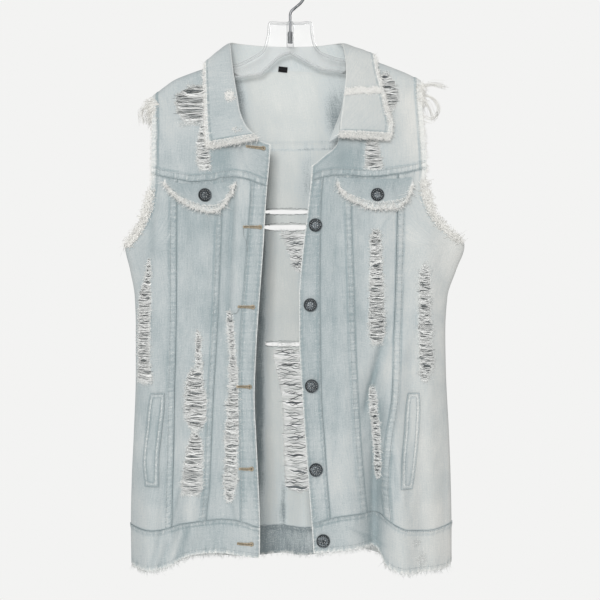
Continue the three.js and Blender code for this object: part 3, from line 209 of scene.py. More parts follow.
# Rips: piece, then height, left and right edge from the foot up, then open slits left between the threads:
# height, middle, half width, opening and tilt
rips = [
    ("right_yoke",
     [(653, -149, -124), (659, -157, -122), (668, -164, -121.5), (682, -166, -121.5), (695, -164, -121.5),
      (699, -157, -123), (706, -146, -126)],
     [(677, -150, 11, 2.2, 0), (682, -140, 9, 1.8, 0.1), (672, -148, 9, 1.8, 0), (687, -152, 10, 1.6, 0),
      (697, -146, 6, 2.4, 0.5), (662, -136, 10, 2, 0), (692, -160, 4, 2.6, 0.1), (666, -127, 5, 1.8, 0)]),
    ("right_yoke",
     [(585, -131, -115), (596, -134, -116), (610, -133, -117), (625, -134, -119), (639, -131, -120),
      (650, -129, -122)],
     [(626, -130, 5, 2, 0.3), (618, -124, 4, 1.6, 0), (636, -126, 4, 1.6, 0.1), (604, -124, 6, 1.4, 0)]),
    ("left_yoke",
     [(671, 143, 148.7), (678, 140, 153), (686, 136, 156), (696, 132, 156), (711, 129, 153),
      (718, 131, 147), (726, 136, 141.6)],
     [(720, 137, 6, 5, 0), (706, 140, 8, 3.4, -0.1), (700, 134, 5, 3, -0.2), (694, 144, 7, 2.2, 0),
      (684, 142, 5, 2.6, 0.1), (713, 146, 6, 2, 0.1), (689, 150, 5, 1.6, 0)]),
    ("left_yoke",
     [(585, 109, 133), (596, 109, 132), (610, 109, 130), (625, 111.5, 127)],
     [(586.5, 122, 8, 2.6, 0.1), (592, 120, 7, 2, 0), (612, 119, 6, 1.5, -0.1), (603, 119, 7, 1.4, 0)]),
    ("right_side_front",
     [(279, -220, -198), (289, -221, -200), (310, -220.5, -202), (339, -220.5, -202), (367, -220, -202),
      (396, -219, -200), (409, -217, -201), (422, -211, -202), (439, -207, -201), (453, -204.5, -202)],
     [(309, -211, 5, 4, 0.5), (323, -210, 5, 2.4, 0), (345, -209, 5, 1.8, -0.1), (374, -208, 5, 1.6, 0),
      (400, -205, 3, 1.8, 0.3)]),
    ("right_middle_front",
     [(120, -152, -130), (129, -155, -124.5), (146, -153, -124.5), (164, -150, -124.5), (182, -147, -124.5),
      (196, -143, -126), (207, -139, -132)],
     [(183, -133, 6, 2.6, -0.1), (164, -140, 7, 2, 0.1), (152, -138, 8, 1.8, 0), (140, -142, 7, 1.8, 0.1),
      (174, -140, 6, 1.6, 0)]),
    ("right_middle_front",
     [(214, -143, -126), (224, -149, -120), (236, -151, -119), (253, -150, -119), (274, -149, -124),
      (290, -146, -125), (296.5, -139, -124.5)],
     [(290, -131, 6, 4.6, -0.1), (276, -137, 9, 1.8, 0), (262, -134, 8, 1.8, 0.1), (246, -136, 9, 1.8, 0),
      (233, -133, 9, 2, 0.1), (221, -134, 8, 2.4, 0)]),
    ("right_middle_front",
     [(298, -134, -126), (317, -134, -127), (339, -134, -127), (350, -133, -130)],
     [(312, -130, 2.5, 1.6, 0), (330, -130.5, 2.5, 1.4, 0)]),
    ("right_centre_front",
     [(111, -90, -83), (124, -93, -79), (139, -94, -74.5), (153, -93, -74.5), (174, -91.5, -76),
      (196, -93, -73), (217, -91.5, -73), (232, -88.5, -71.5), (246, -91.5, -73), (260, -87, -71.5),
      (282, -86, -73), (299, -87, -74.5), (317, -84.5, -78.5), (332, -87, -78.5), (346, -88.5, -80),
      (367, -90, -81.5), (379, -90, -84.5)],
     [(366, -84, 3, 3, 0.2), (350, -82, 3, 2.6, 0.2), (338, -83, 3, 2.4, 0.3), (270, -78, 4, 2.6, 0.5),
      (254, -82, 4, 2.4, -0.4), (236, -80, 4, 2.4, 0.3), (216, -82, 5, 2.2, 0.2), (190, -84, 5, 2.8, 0.3),
      (166, -84, 5, 2.2, -0.3), (146, -83, 5, 2.2, 0.2), (126, -86, 4, 2, 0)]),
    ("left_middle_front",
     [(335, 117, 131.5), (346, 114.5, 136), (367, 113, 136), (389, 114.5, 134.5), (410, 114.5, 134.5),
      (432, 114.5, 133), (450, 116, 131.5), (468, 116, 131.5), (482, 114.5, 130), (495, 119, 128.5)],
     [(475, 121, 5, 2.6, 0.1), (462, 122, 7, 1.4, 0.1), (446, 124, 8, 4, 0.3), (451, 119, 3, 2.4, 0),
      (434, 120, 5, 1.6, 0), (427, 124, 6, 2, 0.1), (412, 121, 6, 3, 0.2), (398, 124, 8, 2.2, 0.2),
      (385, 122, 7, 1.8, 0.2), (370, 117, 5, 3, 0), (366, 130, 4, 2.2, 0.3), (357, 125, 7, 2.4, 0.1),
      (352, 124, 8, 2, 0), (341, 122, 6, 1.8, 0.2)]),
    ("left_middle_front",
     [(142, 124, 128.5), (160, 121.5, 130), (182, 121.5, 128.5), (203, 118.5, 128.5), (222, 117.5, 127),
      (236, 114.5, 124.5), (253, 114.5, 124.5), (270, 114.5, 121.5)],
     [(196, 122, 3, 2.4, -0.4), (182, 125, 3, 2.2, -0.4), (158, 125, 3, 2.4, 0), (172, 125, 3, 2, -0.3),
      (212, 122, 3, 2, 0.3), (146, 126, 2, 2, 0), (152, 125, 4, 2.4, 0.1), (165, 124, 4, 2.2, -0.2),
      (177, 126, 3, 2, 0.2), (189, 124, 4, 2.4, 0), (204, 124, 4, 2.6, 0.2), (220, 121, 4, 2.2, -0.2),
      (229, 121, 4, 2.4, 0.1), (238, 119, 4, 2.2, 0.2), (247, 120, 4, 2.2, -0.2), (257, 119, 3, 2, 0.1)]),
    ("left_side_front",
     [(280, 190, 196), (289, 186, 200), (300, 187, 207), (310, 187, 208.5), (324, 186, 204.5),
      (339, 186, 201.5), (353, 184.5, 206), (367, 186, 203), (382, 186, 201.5), (403, 186, 201.5),
      (422, 186, 201.5), (436, 187, 201.5), (447, 191.5, 196)],
     [(302, 196, 7, 5.2, -0.35), (388, 192, 6, 4.4, -0.4), (361, 202, 4, 2.6, -0.3),
      (348, 189, 4, 3.2, -0.8), (331, 191, 5, 3, -0.2), (365, 196, 6, 2.2, 0.2), (398, 190, 4, 2.4, 0),
      (420, 190, 4, 2.6, -0.6), (314, 188, 3, 2.2, 0), (410, 194, 6, 1.4, 0)]),
    ("back_centre",
     [(439, 8, 20), (453, 1, 25), (463, -1, 25), (478, -8, 25), (492, -12.5, 25), (497, -20, 24)],
     [(480, 10, 12, 3, 0), (450, 8, 10, 3, 0.1), (461, 9, 8, 2.4, 0), (470, 8, 11, 1.6, 0.1),
      (488, 4, 12, 1.8, 0)]),
    ("back_centre",
     [(109, 0, 26), (116, -8, 32), (134, -8, 31), (157, -9.5, 29), (187, -11, 26), (217, -11, 23.5),
      (247, -12.5, 20.5), (269, -17, 19), (291, -21.5, 17.5), (311, -26, 16), (323, -26, 12)],
     [(115, 9, 16, 8, 0), (122, 2, 9, 2.2, 0.1), (139, 12, 13, 5, -0.1), (163, 8, 14, 5, 0),
      (190, 7, 13, 4.2, 0), (209, 6, 12, 4, 0.1), (242, 6, 13, 5.4, 0), (269, 2, 15, 3.2, 0),
      (299, -4, 16, 3.2, 0.1), (317, -8, 16, 2.4, 0), (128, 14, 10, 2, 0), (176, 6, 13, 1.6, 0),
      (226, 4, 12, 1.6, 0), (256, 2, 12, 1.6, 0), (284, -2, 14, 1.8, 0)]),
]
backGaps = [(528, -6, 74, 8), (505, -5, 76, 10), (330, -8, 62, 7.5)]  # height, middle, width, gap


def smooth(places, values):  # a curve through a short table that never overshoots it
    places, values = np.array(places, float), np.array(values, float)
    slope = np.diff(values) / np.diff(places)
    before, after = slope[:-1], slope[1:]
    steady = before * after > 0
    inner = np.where(steady, 2 * before * after / np.where(steady, before + after, 1), 0)
    tangent = np.concatenate([slope[:1], inner, slope[-1:]])

    def at(place):
        place = np.clip(place, places[0], places[-1])
        i = np.clip(np.searchsorted(places, place) - 1, 0, len(places) - 2)
        width = places[i + 1] - places[i]
        t = (place - places[i]) / width
        start = values[i] * (1 + 2 * t) * (1 - t) ** 2 + tangent[i] * width * t * (1 - t) ** 2
        return start + values[i + 1] * t * t * (3 - 2 * t) + tangent[i + 1] * width * t * t * (t - 1)

    return at


def curvesOf(table):
    key, *columns = table
    return {name: smooth(table[key], table[name]) for name in columns}


sides = {-1: "right", 1: "left"}  # the wearer's, by the sign of x
body = curvesOf(bodyTable)
shoulders = {hand: curvesOf(shoulderTables[hand])["height"] for hand in sides}
armholes = {hand: curvesOf(armholeTables[hand])["out"] for hand in sides}
armholeFoot = {hand: armholeTables[hand]["height"][0] for hand in sides}
frontSeams = {hand: curvesOf(frontSeamTables[hand]) for hand in sides}
frontRows = {hand: curvesOf(frontRowTables[hand]) for hand in sides}
frontNecks = {hand: curvesOf(frontNeckTables[hand])["top"] for hand in sides}
backSeams = curvesOf(backSeamTable)
backRows = curvesOf(backRowTable)
backNeck = curvesOf(backNeckTable)["top"]


def scatter(seed):  # a steady stand-in for chance, from 0 to 1
    value = math.sin(seed * 12.9898 + 4.1) * 43758.5453
    return value - math.floor(value)


def wave(place, seed, longest=9.0):  # uneven waves along a seam or across cloth, from about -1 to 1
    total = 0
    for k, share in enumerate((1, 0.62, 0.41, 0.27)):
        total = total + np.sin(2 * math.pi * place / (longest * share) + 6.3 * scatter(seed + k)) * (0.5 - 0.1 * k)
    return total / 1.4


def bell(distance, reach):
    return np.exp(-(distance / reach) ** 2)


def within(distance, width, soft):  # 1 as far as the width and 0 past it, with a soft step
    return 1 / (1 + np.exp(np.clip((distance - width) / soft, -50, 50)))


def lens(distance, half):  # 1 in the middle and 0 at the ends, along an arch
    return np.clip(1 - (distance / half) ** 2, 0, 1)


def halfWidth(x, height):
    return np.where(x < 0, body["right"](height), body["left"](height))


def shoulderHeight(x):
    out = np.abs(x)
    past = np.where(x < 0, shoulders[-1](out), shoulders[1](out))
    top = np.where(x < 0, shoulderTables[-1]["height"][0], shoulderTables[1]["height"][0])
    return np.where(out < neckHalf, top + neckRise * (neckHalf - out), past)


def foldRise(folds, x, height):
    total = 0
    for rise, reach, lowX, low, highX, high, soften in folds:
        middle = lowX + (highX - lowX) * (height - low) / (high - low)
        past = np.maximum(np.maximum(low - height, height - high), 0) / soften
        total = total + rise * np.exp(-(((x - middle) / reach) ** 2) - past ** 2)
    return total


def unevenness(side, x, height):  # soft small waves all over the cloth
    total = 0
    for k in range(9):
        turn = math.pi * scatter(k * 3.1 + side)
        length = 16 + 44 * scatter(k * 1.7 + 5 + side)
        place = x * math.cos(turn) + 0.45 * height * math.sin(turn)
        total = total + np.sin(2 * math.pi * place / length + 6.3 * scatter(k + 0.4))
    return 0.16 * total


def clothPoint(side, x, height, creased=True):  # a point of the outer cloth, in mm; side -1 is the front
    wide = halfWidth(x, height)
    share = np.clip(x / wide, -1, 1)
    depth = body["front"](height) if side < 0 else body["back"](height)
    down = np.clip((shoulderHeight(x) - height) / shoulderRoll, 0, 1)
    rolled = np.sqrt(1 - (1 - down) ** 2)
    ring = np.sqrt(np.maximum(1 - share ** 2, 0)) ** ringPower
    folds, creases = (frontFolds, frontCreases) if side < 0 else (backFolds, backCreases)
    fold = foldRise(folds, x, height)
    if creased:
        fold = fold + foldRise(creases, x, height) + unevenness(side, x, height)
    y = side * ((depth * ring + fold * np.minimum(1, ring * 1.6)) * rolled + seamGap / 2)
    return np.stack(np.broadcast_arrays(share * wide, y, height), axis=-1)


def unit(vectors):
    return vectors / np.maximum(np.linalg.norm(vectors, axis=-1, keepdims=True), 1e-9)


def clothNormal(side, x, height):
    step = np.where(x > 0, -0.4, 0.4)
    here = clothPoint(side, x, height)
    level = np.maximum(0, 1 - (shoulderHeight(x) - height) / 60)
    lift = (shoulderHeight(x + step) - shoulderHeight(x)) * level
    across = (clothPoint(side, x + step, height + lift) - here) * np.sign(step)[..., None]
    down = clothPoint(side, x, height - 0.1) - here
    return unit(np.cross(across, down)) * side


# Lines of the pieces: columns give x at a height, rows give a height at an x
def sideLine(hand):
    def at(height):
        wide = body["right"](height) if hand < 0 else body["left"](height)
        return hand * np.where(height < armholeFoot[hand], wide, armholes[hand](height))
    return at


def seamLine(hand, name):
    return lambda height: hand * frontSeams[hand][name](height)


def backSeamLine(hand, name):
    return lambda height: hand * backSeams[name](height)


def frontRow(hand, name):
    return lambda x: frontRows[hand][name](x * hand)


def frontTop(hand):
    return lambda x: np.where(np.abs(x) < neckHalf, frontNecks[hand](x * hand), shoulderHeight(x))


def backTop(x):
    return np.where(np.abs(x) < neckHalf, backNeck(x), shoulderHeight(x))


print("sections ready")

cloth = {
    "cell": 2.1,  # mm between the points of the front pieces
    "backCell": 2.8,
    "thickness": 0.95,
    "felledRise": 1.0,
    "felledSoft": 0.5,
    "puckerRise": 0.55,
    "puckerLength": 8.5,
    "bandShade": 0.42,  # how much darker the back's hem band is on its inner face
}


# A piece: side, column lines first and last, row lines low and high, edges that aren't sewn, felled edges
# with their widths, and rows of stitches as edge and distance in. A sewn edge keeps half a seam gap clear.
def panelOf(side, first, last, low, high, unsewn, felled, rows, rolled=False):
    sewn = {edge: edge not in unsewn for edge in ("first", "last", "low", "high")}
    return {"side": side, "first": first, "last": last, "low": low, "high": high, "sewn": sewn,
            "felled": felled, "rows": rows, "rolled": rolled, "start": 640.0 if rolled else 300.0}


panels = {}
for hand, label in sides.items():
    line = {name: seamLine(hand, name) for name in ("outer", "inner", "placket", "edge")}
    line["side"] = sideLine(hand)
    hem, band, yoke = (frontRow(hand, name) for name in ("hem", "band", "yoke"))
    middle = ({"last": 8}, [("last", 1.7), ("last", 6.6)])
    centre = ({"first": 9}, [("first", 1.7), ("first", 7.2)])
    stretches = {
        "side_front": ("side", "outer", {"last": 10}, [("last", 1.8), ("last", 8.6)]),
        "middle_front": ("outer", "inner", *(middle if hand < 0 else ({}, []))),
        "centre_front": ("inner", "placket", *(centre if hand > 0 else ({}, []))),
        "placket": ("placket", "edge", {"first": 3}, [("first", 1.6), ("last", 2.2)]),
    }
    for stretch, (first, last, felled, rows) in stretches.items():
        unsewn = ("first",) if first == "side" else ()
        panels[f"{label}_{stretch}"] = panelOf(-1, line[first], line[last], band, yoke, unsewn, felled,
                                               rows + [("high", 1.8)])
    panels[f"{label}_yoke"] = panelOf(-1, line["side"], line["edge"], yoke, frontTop(hand), ("first", "high"),
                                      {"low": 10, "first": 9},
                                      [("low", 1.8), ("low", 8.4), ("first", 7.6), ("last", 2)], True)
    panels[f"{label}_hem_band"] = panelOf(-1, line["side"], line["edge"], hem, band, ("first", "low"),
                                          {"high": 5}, [("high", 1.8), ("low", 6.5), ("last", 2.2)])
backStretches = {
    "back_right_side": (sideLine(-1), backSeamLine(-1, "right"), ("first",), {"last": 9},
                        [("last", 1.8), ("last", 7.6)]),
    "back_centre": (backSeamLine(-1, "right"), backSeamLine(1, "left"), (), {}, []),
    "back_left_side": (backSeamLine(1, "left"), sideLine(1), ("last",), {"first": 9},
                       [("first", 1.8), ("first", 7.6)]),
}
for name, (first, last, unsewn, felled, rows) in backStretches.items():
    panels[name] = panelOf(1, first, last, backRows["band"], backRows["yoke"], unsewn, felled, rows)
panels["back_yoke"] = panelOf(1, sideLine(-1), sideLine(1), backRows["yoke"], backTop, ("first", "last", "high"),
                              {"low": 10, "first": 9, "last": 9},
                              [("low", 1.8), ("low", 8.4), ("first", 7.6), ("last", 7.6)], True)
panels["back_hem_band"] = panelOf(1, sideLine(-1), sideLine(1), backRows["hem"], backRows["band"],
                                  ("first", "last", "low"), {"high": 5}, [("high", 1.8), ("low", 6.5)])


def edgeDistance(panel, edge, x, height):
    if edge == "first":
        return np.abs(x - panel["first"](height)), height
    if edge == "last":
        return np.abs(panel["last"](height) - x), height
    if edge == "low":
        return height - panel["low"](x), x
    return panel["high"](x) - height, x


def relief(panel, x, height):  # how far felled seams and their puckers stand out of the cloth
    rise = np.zeros(np.shape(x))
    for edge, width in panel["felled"].items():
        away, _ = edgeDistance(panel, edge, x, height)
        rise = rise + cloth["felledRise"] * within(away, width, cloth["felledSoft"])
    return rise + cloth["puckerRise"] * puckers(panel, x, height)


def puckers(panel, x, height):  # small waves square to every sewn edge, fading away from it
    total = np.zeros(np.shape(x))
    for edge in sorted({edge for edge, _ in panel["rows"]}):
        away, place = edgeDistance(panel, edge, x, height)
        ruffle = wave(place, ord(edge[0]) + panel["side"], cloth["puckerLength"])
        total = total + ruffle * bell(away - 4, 6.5)
    return total


def columnShares(panel, cell):
    height = np.linspace(600, 690, 8) if panel["rolled"] else np.linspace(100, 460, 8)
    width = np.abs(panel["last"](height) - panel["first"](height)).mean()
    t = np.linspace(0, 1, max(int(width / cell), 4) + 1)
    openFirst, openLast = not panel["sewn"]["first"], not panel["sewn"]["last"]
    if openFirst and openLast:
        return 0.5 - 0.5 * np.cos(math.pi * (0.1 + 0.8 * t)) / math.cos(math.pi * 0.1)
    if openFirst:
        return (t * t + 0.9 * t) / 1.9
    if openLast:
        return 1 - ((1 - t) ** 2 + 0.9 * (1 - t)) / 1.9
    return t


shoulderDrops = np.array([14, 11.5, 9, 6.8, 5, 3.4, 2.1, 1.1, 0.4, 0])


def panelPlaces(panel, cell):  # x and height of every point of a piece's grid
    across = columnShares(panel, cell)
    rolled = panel["rolled"]
    gap = {edge: seamGap / 2 if sewn else 0 for edge, sewn in panel["sewn"].items()}
    first, last = panel["first"](panel["start"]), panel["last"](panel["start"])
    x = first + (last - first) * across
    tall = np.median(panel["high"](x) - panel["low"](x)) - (shoulderDrops[0] if rolled else 0)
    up = np.linspace(0, 1, int(tall / cell) + 1)[:, None]
    if rolled:
        up = np.concatenate([up[:-1], np.ones((len(shoulderDrops), 1))])
    drops = np.concatenate([np.zeros(len(up) - len(shoulderDrops)), shoulderDrops])[:, None]
    x = np.broadcast_to(x, (len(up), len(across)))
    for _ in range(8):
        low, high = panel["low"](x) + gap["low"], panel["high"](x) - gap["high"]
        if rolled:
            height = np.where(up < 1, low + (high - shoulderDrops[0] - low) * up, high - drops)
        else:
            height = low + (high - low) * up
        first, last = panel["first"](height), panel["last"](height)
        way = np.sign(last - first)
        x = first + way * gap["first"] + (last - first - way * (gap["first"] + gap["last"])) * across
    return x, height


def ripsOf(name):
    return [rip for rip in rips if rip[0] == name]


def ripSide(rip):
    return 1 if rip[0].startswith("back") else -1


def ripSpan(rip):  # its lowest and highest row
    return rip[1][0][0], rip[1][-1][0]


def ripShape(rip, height):  # the middle and half width of the open part at a height
    rows = np.array(rip[1], float)
    low, high = rows[0, 0] - 1.5, rows[-1, 0] + 1.5
    ends = np.clip(np.minimum(height - low, high - height) / 3, 0, 1) ** 0.6
    seed = low + rows[0, 1]
    left = np.interp(height, rows[:, 0], rows[:, 1]) + 0.8 * wave(height, seed, 5) + 0.8 * wave(height, seed + 2, 13)
    right = np.interp(height, rows[:, 0], rows[:, 2]) + 0.8 * wave(height, seed + 5, 5)
    right = right + 0.8 * wave(height, seed + 7, 13)
    inside = (height > low) & (height < high)
    return 0.5 * (left + right), np.where(inside, np.maximum(0.5 * (right - left), 1) * ends, 0)


def gapHalf(open, x):  # half the height of one of the back's open gaps at a place across
    height, middle, width, gap = open
    return 0.5 * gap * lens(x - middle, 0.5 * width) ** 0.35 * (1 + 0.2 * wave(x, height, 23))


def snapToRips(name, x, height):  # moves the nearest points of the grid onto the edges of the rips
    x, height = x.copy(), height.copy()
    rows = np.arange(len(x))
    for rip in ripsOf(name):
        for hand in (-1, 1):
            middle, half = ripShape(rip, height)
            edge = middle + hand * half
            nearest = np.abs(x - edge).argmin(axis=1)
            wide = half[rows, nearest] > 0.5
            x[rows[wide], nearest[wide]] = edge[rows[wide], nearest[wide]]
    if name == "back_centre":
        columns = np.arange(x.shape[1])
        for open in backGaps:
            for hand in (-1, 1):
                edge = open[0] + hand * gapHalf(open, x)
                nearest = np.abs(height - edge).argmin(axis=0)
                tall = np.abs(edge - open[0])[nearest, columns] > 0.5
                height[nearest[tall], columns[tall]] = edge[nearest[tall], columns[tall]]
    return x, height


def ripped(name, x, height):  # True where there is no cloth
    gone = np.zeros(x.shape, bool)
    for rip in ripsOf(name):
        middle, half = ripShape(rip, height)
        gone |= np.abs(x - middle) < half
    if name == "back_centre":
        for open in backGaps:
            gone |= np.abs(height - open[0]) < gapHalf(open, x)
    return gone


# How pale each face is, from 0 in its bluest places to 1; the inner face of the back is lighter towards the top and
# carries painted shadows and painted light
fadeAndShade = {
    "front": smooth([-245, -180, -110, -60, 30, 62, 100, 150, 200, 245],  # by x, the others by height
                    [0.42, 0.34, 0.3, 0.3, 0.24, 0.28, 0.42, 0.52, 0.69, 0.86]),
    "inside": smooth([0, 80, 200, 400, 600, 740], [0.5, 0.56, 0.7, 0.75, 0.74, 0.78]),
    "back": smooth([0, 80, 300, 500, 640, 740], [0.5, 0.34, 0.3, 0.34, 0.42, 0.5]),
    "backPatches": [  # amount, x, height, reach across, reach up
        (0.2, -130, 560, 40, 60), (0.2, 120, 560, 40, 60), (0.16, 0, 250, 50, 90), (-0.14, 60, 420, 30, 60),
        (0.14, -170, 150, 30, 80), (0.16, 175, 200, 30, 90), (0.14, 0, 690, 70, 24),
    ],
    "frontPatches": [
        (0.14, -170, 650, 34, 70), (-0.24, -102, 590, 20, 26), (0.24, -66, 590, 14, 50), (0.3, 62, 150, 26, 60),
        (-0.22, 82, 598, 30, 26), (0.3, 182, 655, 26, 60), (0.2, 130, 690, 24, 30),
        (-0.18, -126, 548, 34, 16), (-0.22, 120, 556, 36, 14), (0.14, -200, 60, 40, 60),
        (0.02, 60, 50, 60, 30), (-0.06, 96, 420, 14, 120), (0.12, 178, 60, 60, 40), (0.14, -30, 60, 60, 30),
        (-0.14, -125, 500, 26, 24), (0.1, -140, 150, 22, 60),
    ],
    # painted shadows beside the collar and the front edges on the inner face of the back, and painted light on it
    # under the left front's hem
    "insidePatches": [
        (-0.6, 70, 672, 24, 56), (-0.6, -80, 690, 18, 54), (-0.5, 24, 566, 13, 40), (-0.6, -42, 490, 7, 130),
        (-0.8, -47, 240, 9, 150), (-0.4, 17, 424, 5, 26), (-0.5, -10, 92, 4, 30), (0.5, 84, 40, 44, 30),
        (0.9, 116, 30, 22, 24),
    ],
}


def paleness(face, x, height):
    base = fadeAndShade[face](x if face == "front" else height)
    for amount, middle, level, reach, tall in fadeAndShade[face + "Patches"]:
        base = base + amount * bell(x - middle, reach) * bell(height - level, tall)
    # painted shade in the hollows of the creases and painted light on their ridges
    base = base + 0.09 * np.clip(foldRise(frontCreases if face == "front" else backCreases, x, height), -5, 2)
    return np.clip(base + 0.06 * wave(x + 0.3 * height, 2, 70) + 0.05 * wave(height, 8, 120), 0, 1)


def toFrame(points):  # from millimetres above the lowest hem to the frame's metres
    return (points - np.array([0, 0, hangHeight])) * mm


def newMesh(name, points, faces, fields=None, uv=None):
    mesh = bpy.data.meshes.new(name)
    mesh.vertices.add(len(points))
    mesh.vertices.foreach_set("co", toFrame(points).ravel())
    mesh.loops.add(faces.size)
    mesh.loops.foreach_set("vertex_index", faces.ravel().astype(np.int32))
    mesh.polygons.add(len(faces))
    mesh.polygons.foreach_set("loop_start", np.arange(0, faces.size, faces.shape[1], dtype=np.int32))
    mesh.update(calc_edges=True)
    if uv is not None:
        layer = mesh.uv_layers.new(name="weave")
        layer.uv.foreach_set("vector", (uv[faces.ravel()] * mm).ravel())
    for key, values in (fields or {}).items():
        mesh.attributes.new(key, "FLOAT", "POINT").data.foreach_set("value", values.ravel())
    mesh.validate()
    piece = bpy.data.objects.new(name, mesh)
    bpy.context.scene.collection.objects.link(piece)
    return piece


def onlySelect(piece):
    bpy.ops.object.select_all(action="DESELECT")
    piece.select_set(True)
    bpy.context.view_layer.objects.active = piece


def applyModifiers(piece):
    onlySelect(piece)
    for modifier in list(piece.modifiers):
        bpy.ops.object.modifier_apply(modifier=modifier.name)


def shadeSmooth(degrees):
    bpy.ops.object.shade_smooth_by_angle(angle=math.radians(degrees))


def roundEdges(piece, width, segments, degrees=30):
    rounding = piece.modifiers.new("rounding", "BEVEL")
    rounding.width = width * mm
    rounding.segments = segments
    rounding.limit_method = "ANGLE"
    rounding.angle_limit = math.radians(degrees)
    applyModifiers(piece)


def joinPieces(parts):  # into the first of them
    bpy.ops.object.select_all(action="DESELECT")
    for part in parts:
        part.select_set(True)
    bpy.context.view_layer.objects.active = parts[0]
    bpy.ops.object.transform_apply(location=True, rotation=True, scale=True)
    bpy.ops.object.join()


def closeMesh(merge):  # welds the active piece's points and turns its faces outwards
    bpy.ops.object.mode_set(mode="EDIT")
    bpy.ops.mesh.select_all(action="SELECT")
    bpy.ops.mesh.remove_doubles(threshold=merge * mm)
    bpy.ops.mesh.normals_make_consistent(inside=False)
    bpy.ops.object.mode_set(mode="OBJECT")
    shadeSmooth(50)


def onlyMaterial(piece, key):
    piece.data.materials.clear()
    piece.data.materials.append(finishes[key])


def finishPiece(piece, slotName, *nodes):
    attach(piece, "root")
    if nodes:
        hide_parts(*nodes)
    return piece


def gridFaces(rows, columns, keep=None, turned=False):
    i, j = np.meshgrid(np.arange(rows - 1), np.arange(columns - 1), indexing="ij")
    corner = i * columns + j
    faces = np.stack([corner, corner + 1, corner + columns + 1, corner + columns], axis=-1)
    faces = faces[keep] if keep is not None else faces.reshape(-1, 4)
    return faces[:, ::-1] if turned else faces


def gridNormals(points):
    across = np.gradient(points, axis=1)
    up = np.gradient(points, axis=0)
    return unit(np.cross(across, up))


def arcLengths(points):  # a weave map: lengths along the rows and the columns
    across = np.zeros(points.shape[:2])
    up = np.zeros(points.shape[:2])
    across[:, 1:] = np.cumsum(np.linalg.norm(np.diff(points, axis=1), axis=-1), axis=1)
    up[1:] = np.cumsum(np.linalg.norm(np.diff(points, axis=0), axis=-1), axis=0)
    return across, up


def makeSheet(node, points, outwards, thickness, fields, looks=("denim",), keep=None):
    normals = gridNormals(points)
    turned = (normals * outwards).sum(-1).mean() < 0
    across, up = arcLengths(points)
    faces = gridFaces(*points.shape[:2], keep, turned)
    used = np.unique(faces)
    fresh = np.zeros(points.shape[0] * points.shape[1], int)
    fresh[used] = np.arange(len(used))
    uv = np.stack([across, up], axis=-1).reshape(-1, 2)[used]
    kept = {key: np.broadcast_to(values, points.shape[:2]).ravel()[used] for key, values in fields.items()}
    piece = newMesh(f"{node}.cloth", points.reshape(-1, 3)[used], fresh[faces], kept, uv)
    for key in looks:
        piece.data.materials.append(finishes[key])
    shell = piece.modifiers.new("wall", "SOLIDIFY")
    shell.thickness = thickness * mm
    shell.offset = -1
    shell.material_offset = shell.material_offset_rim = len(looks) - 1
    applyModifiers(piece)
    shadeSmooth(50)
    finishPiece(piece, "denim", node)
    cell = np.linalg.norm(np.cross(np.diff(points, axis=1)[:-1], np.diff(points, axis=0)[:, :-1]), axis=-1)
    area = cell.sum() * mm * mm


# Tubes for threads, fray and stitches: paths is strands x points x 3
def tubeParts(paths, radii, sides=3):
    paths = np.asarray(paths, float)
    count, steps, _ = paths.shape
    radii = np.broadcast_to(radii, (count, steps))
    along = unit(np.gradient(paths, axis=1))
    upright = np.abs(along[..., 2:3]) > 0.85
    helper = np.where(upright, np.array([1.0, 0, 0]), np.array([0, 0, 1.0]))
    first = unit(np.cross(along, helper))
    second = np.cross(along, first)
    angle = 2 * math.pi * np.arange(sides) / sides
    ring = first[:, :, None] * np.cos(angle)[:, None] + second[:, :, None] * np.sin(angle)[:, None]
    points = paths[:, :, None] + ring * radii[:, :, None, None]
    at = np.arange(count * steps * sides).reshape(count, steps, sides)
    a, b = at[:, :-1], np.roll(at[:, :-1], -1, axis=2)
    c, d = np.roll(at[:, 1:], -1, axis=2), at[:, 1:]
    walls = np.concatenate([np.stack([a, b, c], -1).reshape(-1, 3), np.stack([a, c, d], -1).reshape(-1, 3)])
    caps = []
    for k in range(1, sides - 1):
        caps.append(np.stack([at[:, 0, 0], at[:, 0, k + 1], at[:, 0, k]], -1))
        caps.append(np.stack([at[:, -1, 0], at[:, -1, k], at[:, -1, k + 1]], -1))
    return points.reshape(-1, 3), np.concatenate([walls, *caps]), steps * sides


def tubePiece(name, groups, material, chance, sides=3):  # one piece of all the strands in the groups
    points, faces, tints, start = [], [], [], 0
    for paths, radii in groups:
        if len(paths) == 0:
            continue
        part, triangles, perStrand = tubeParts(paths, radii, sides)
        points.append(part)
        faces.append(triangles + start)
        tints.append(np.repeat(chance.random(len(paths)), perStrand))
        start += len(part)
    piece = newMesh(name, np.concatenate(points), np.concatenate(faces), {"tint": np.concatenate(tints)})
    piece.data.materials.append(material)
    piece.data.polygons.foreach_set("use_smooth", np.ones(len(piece.data.polygons), bool))
    return piece


def linear(red, green, blue):  # a colour as seen on a screen, from 0 to 255, as the shader wants it
    return tuple(((c / 255 + 0.055) / 1.055) ** 2.4 if c > 10 else c / 255 / 12.92 for c in (red, green, blue)) + (1,)


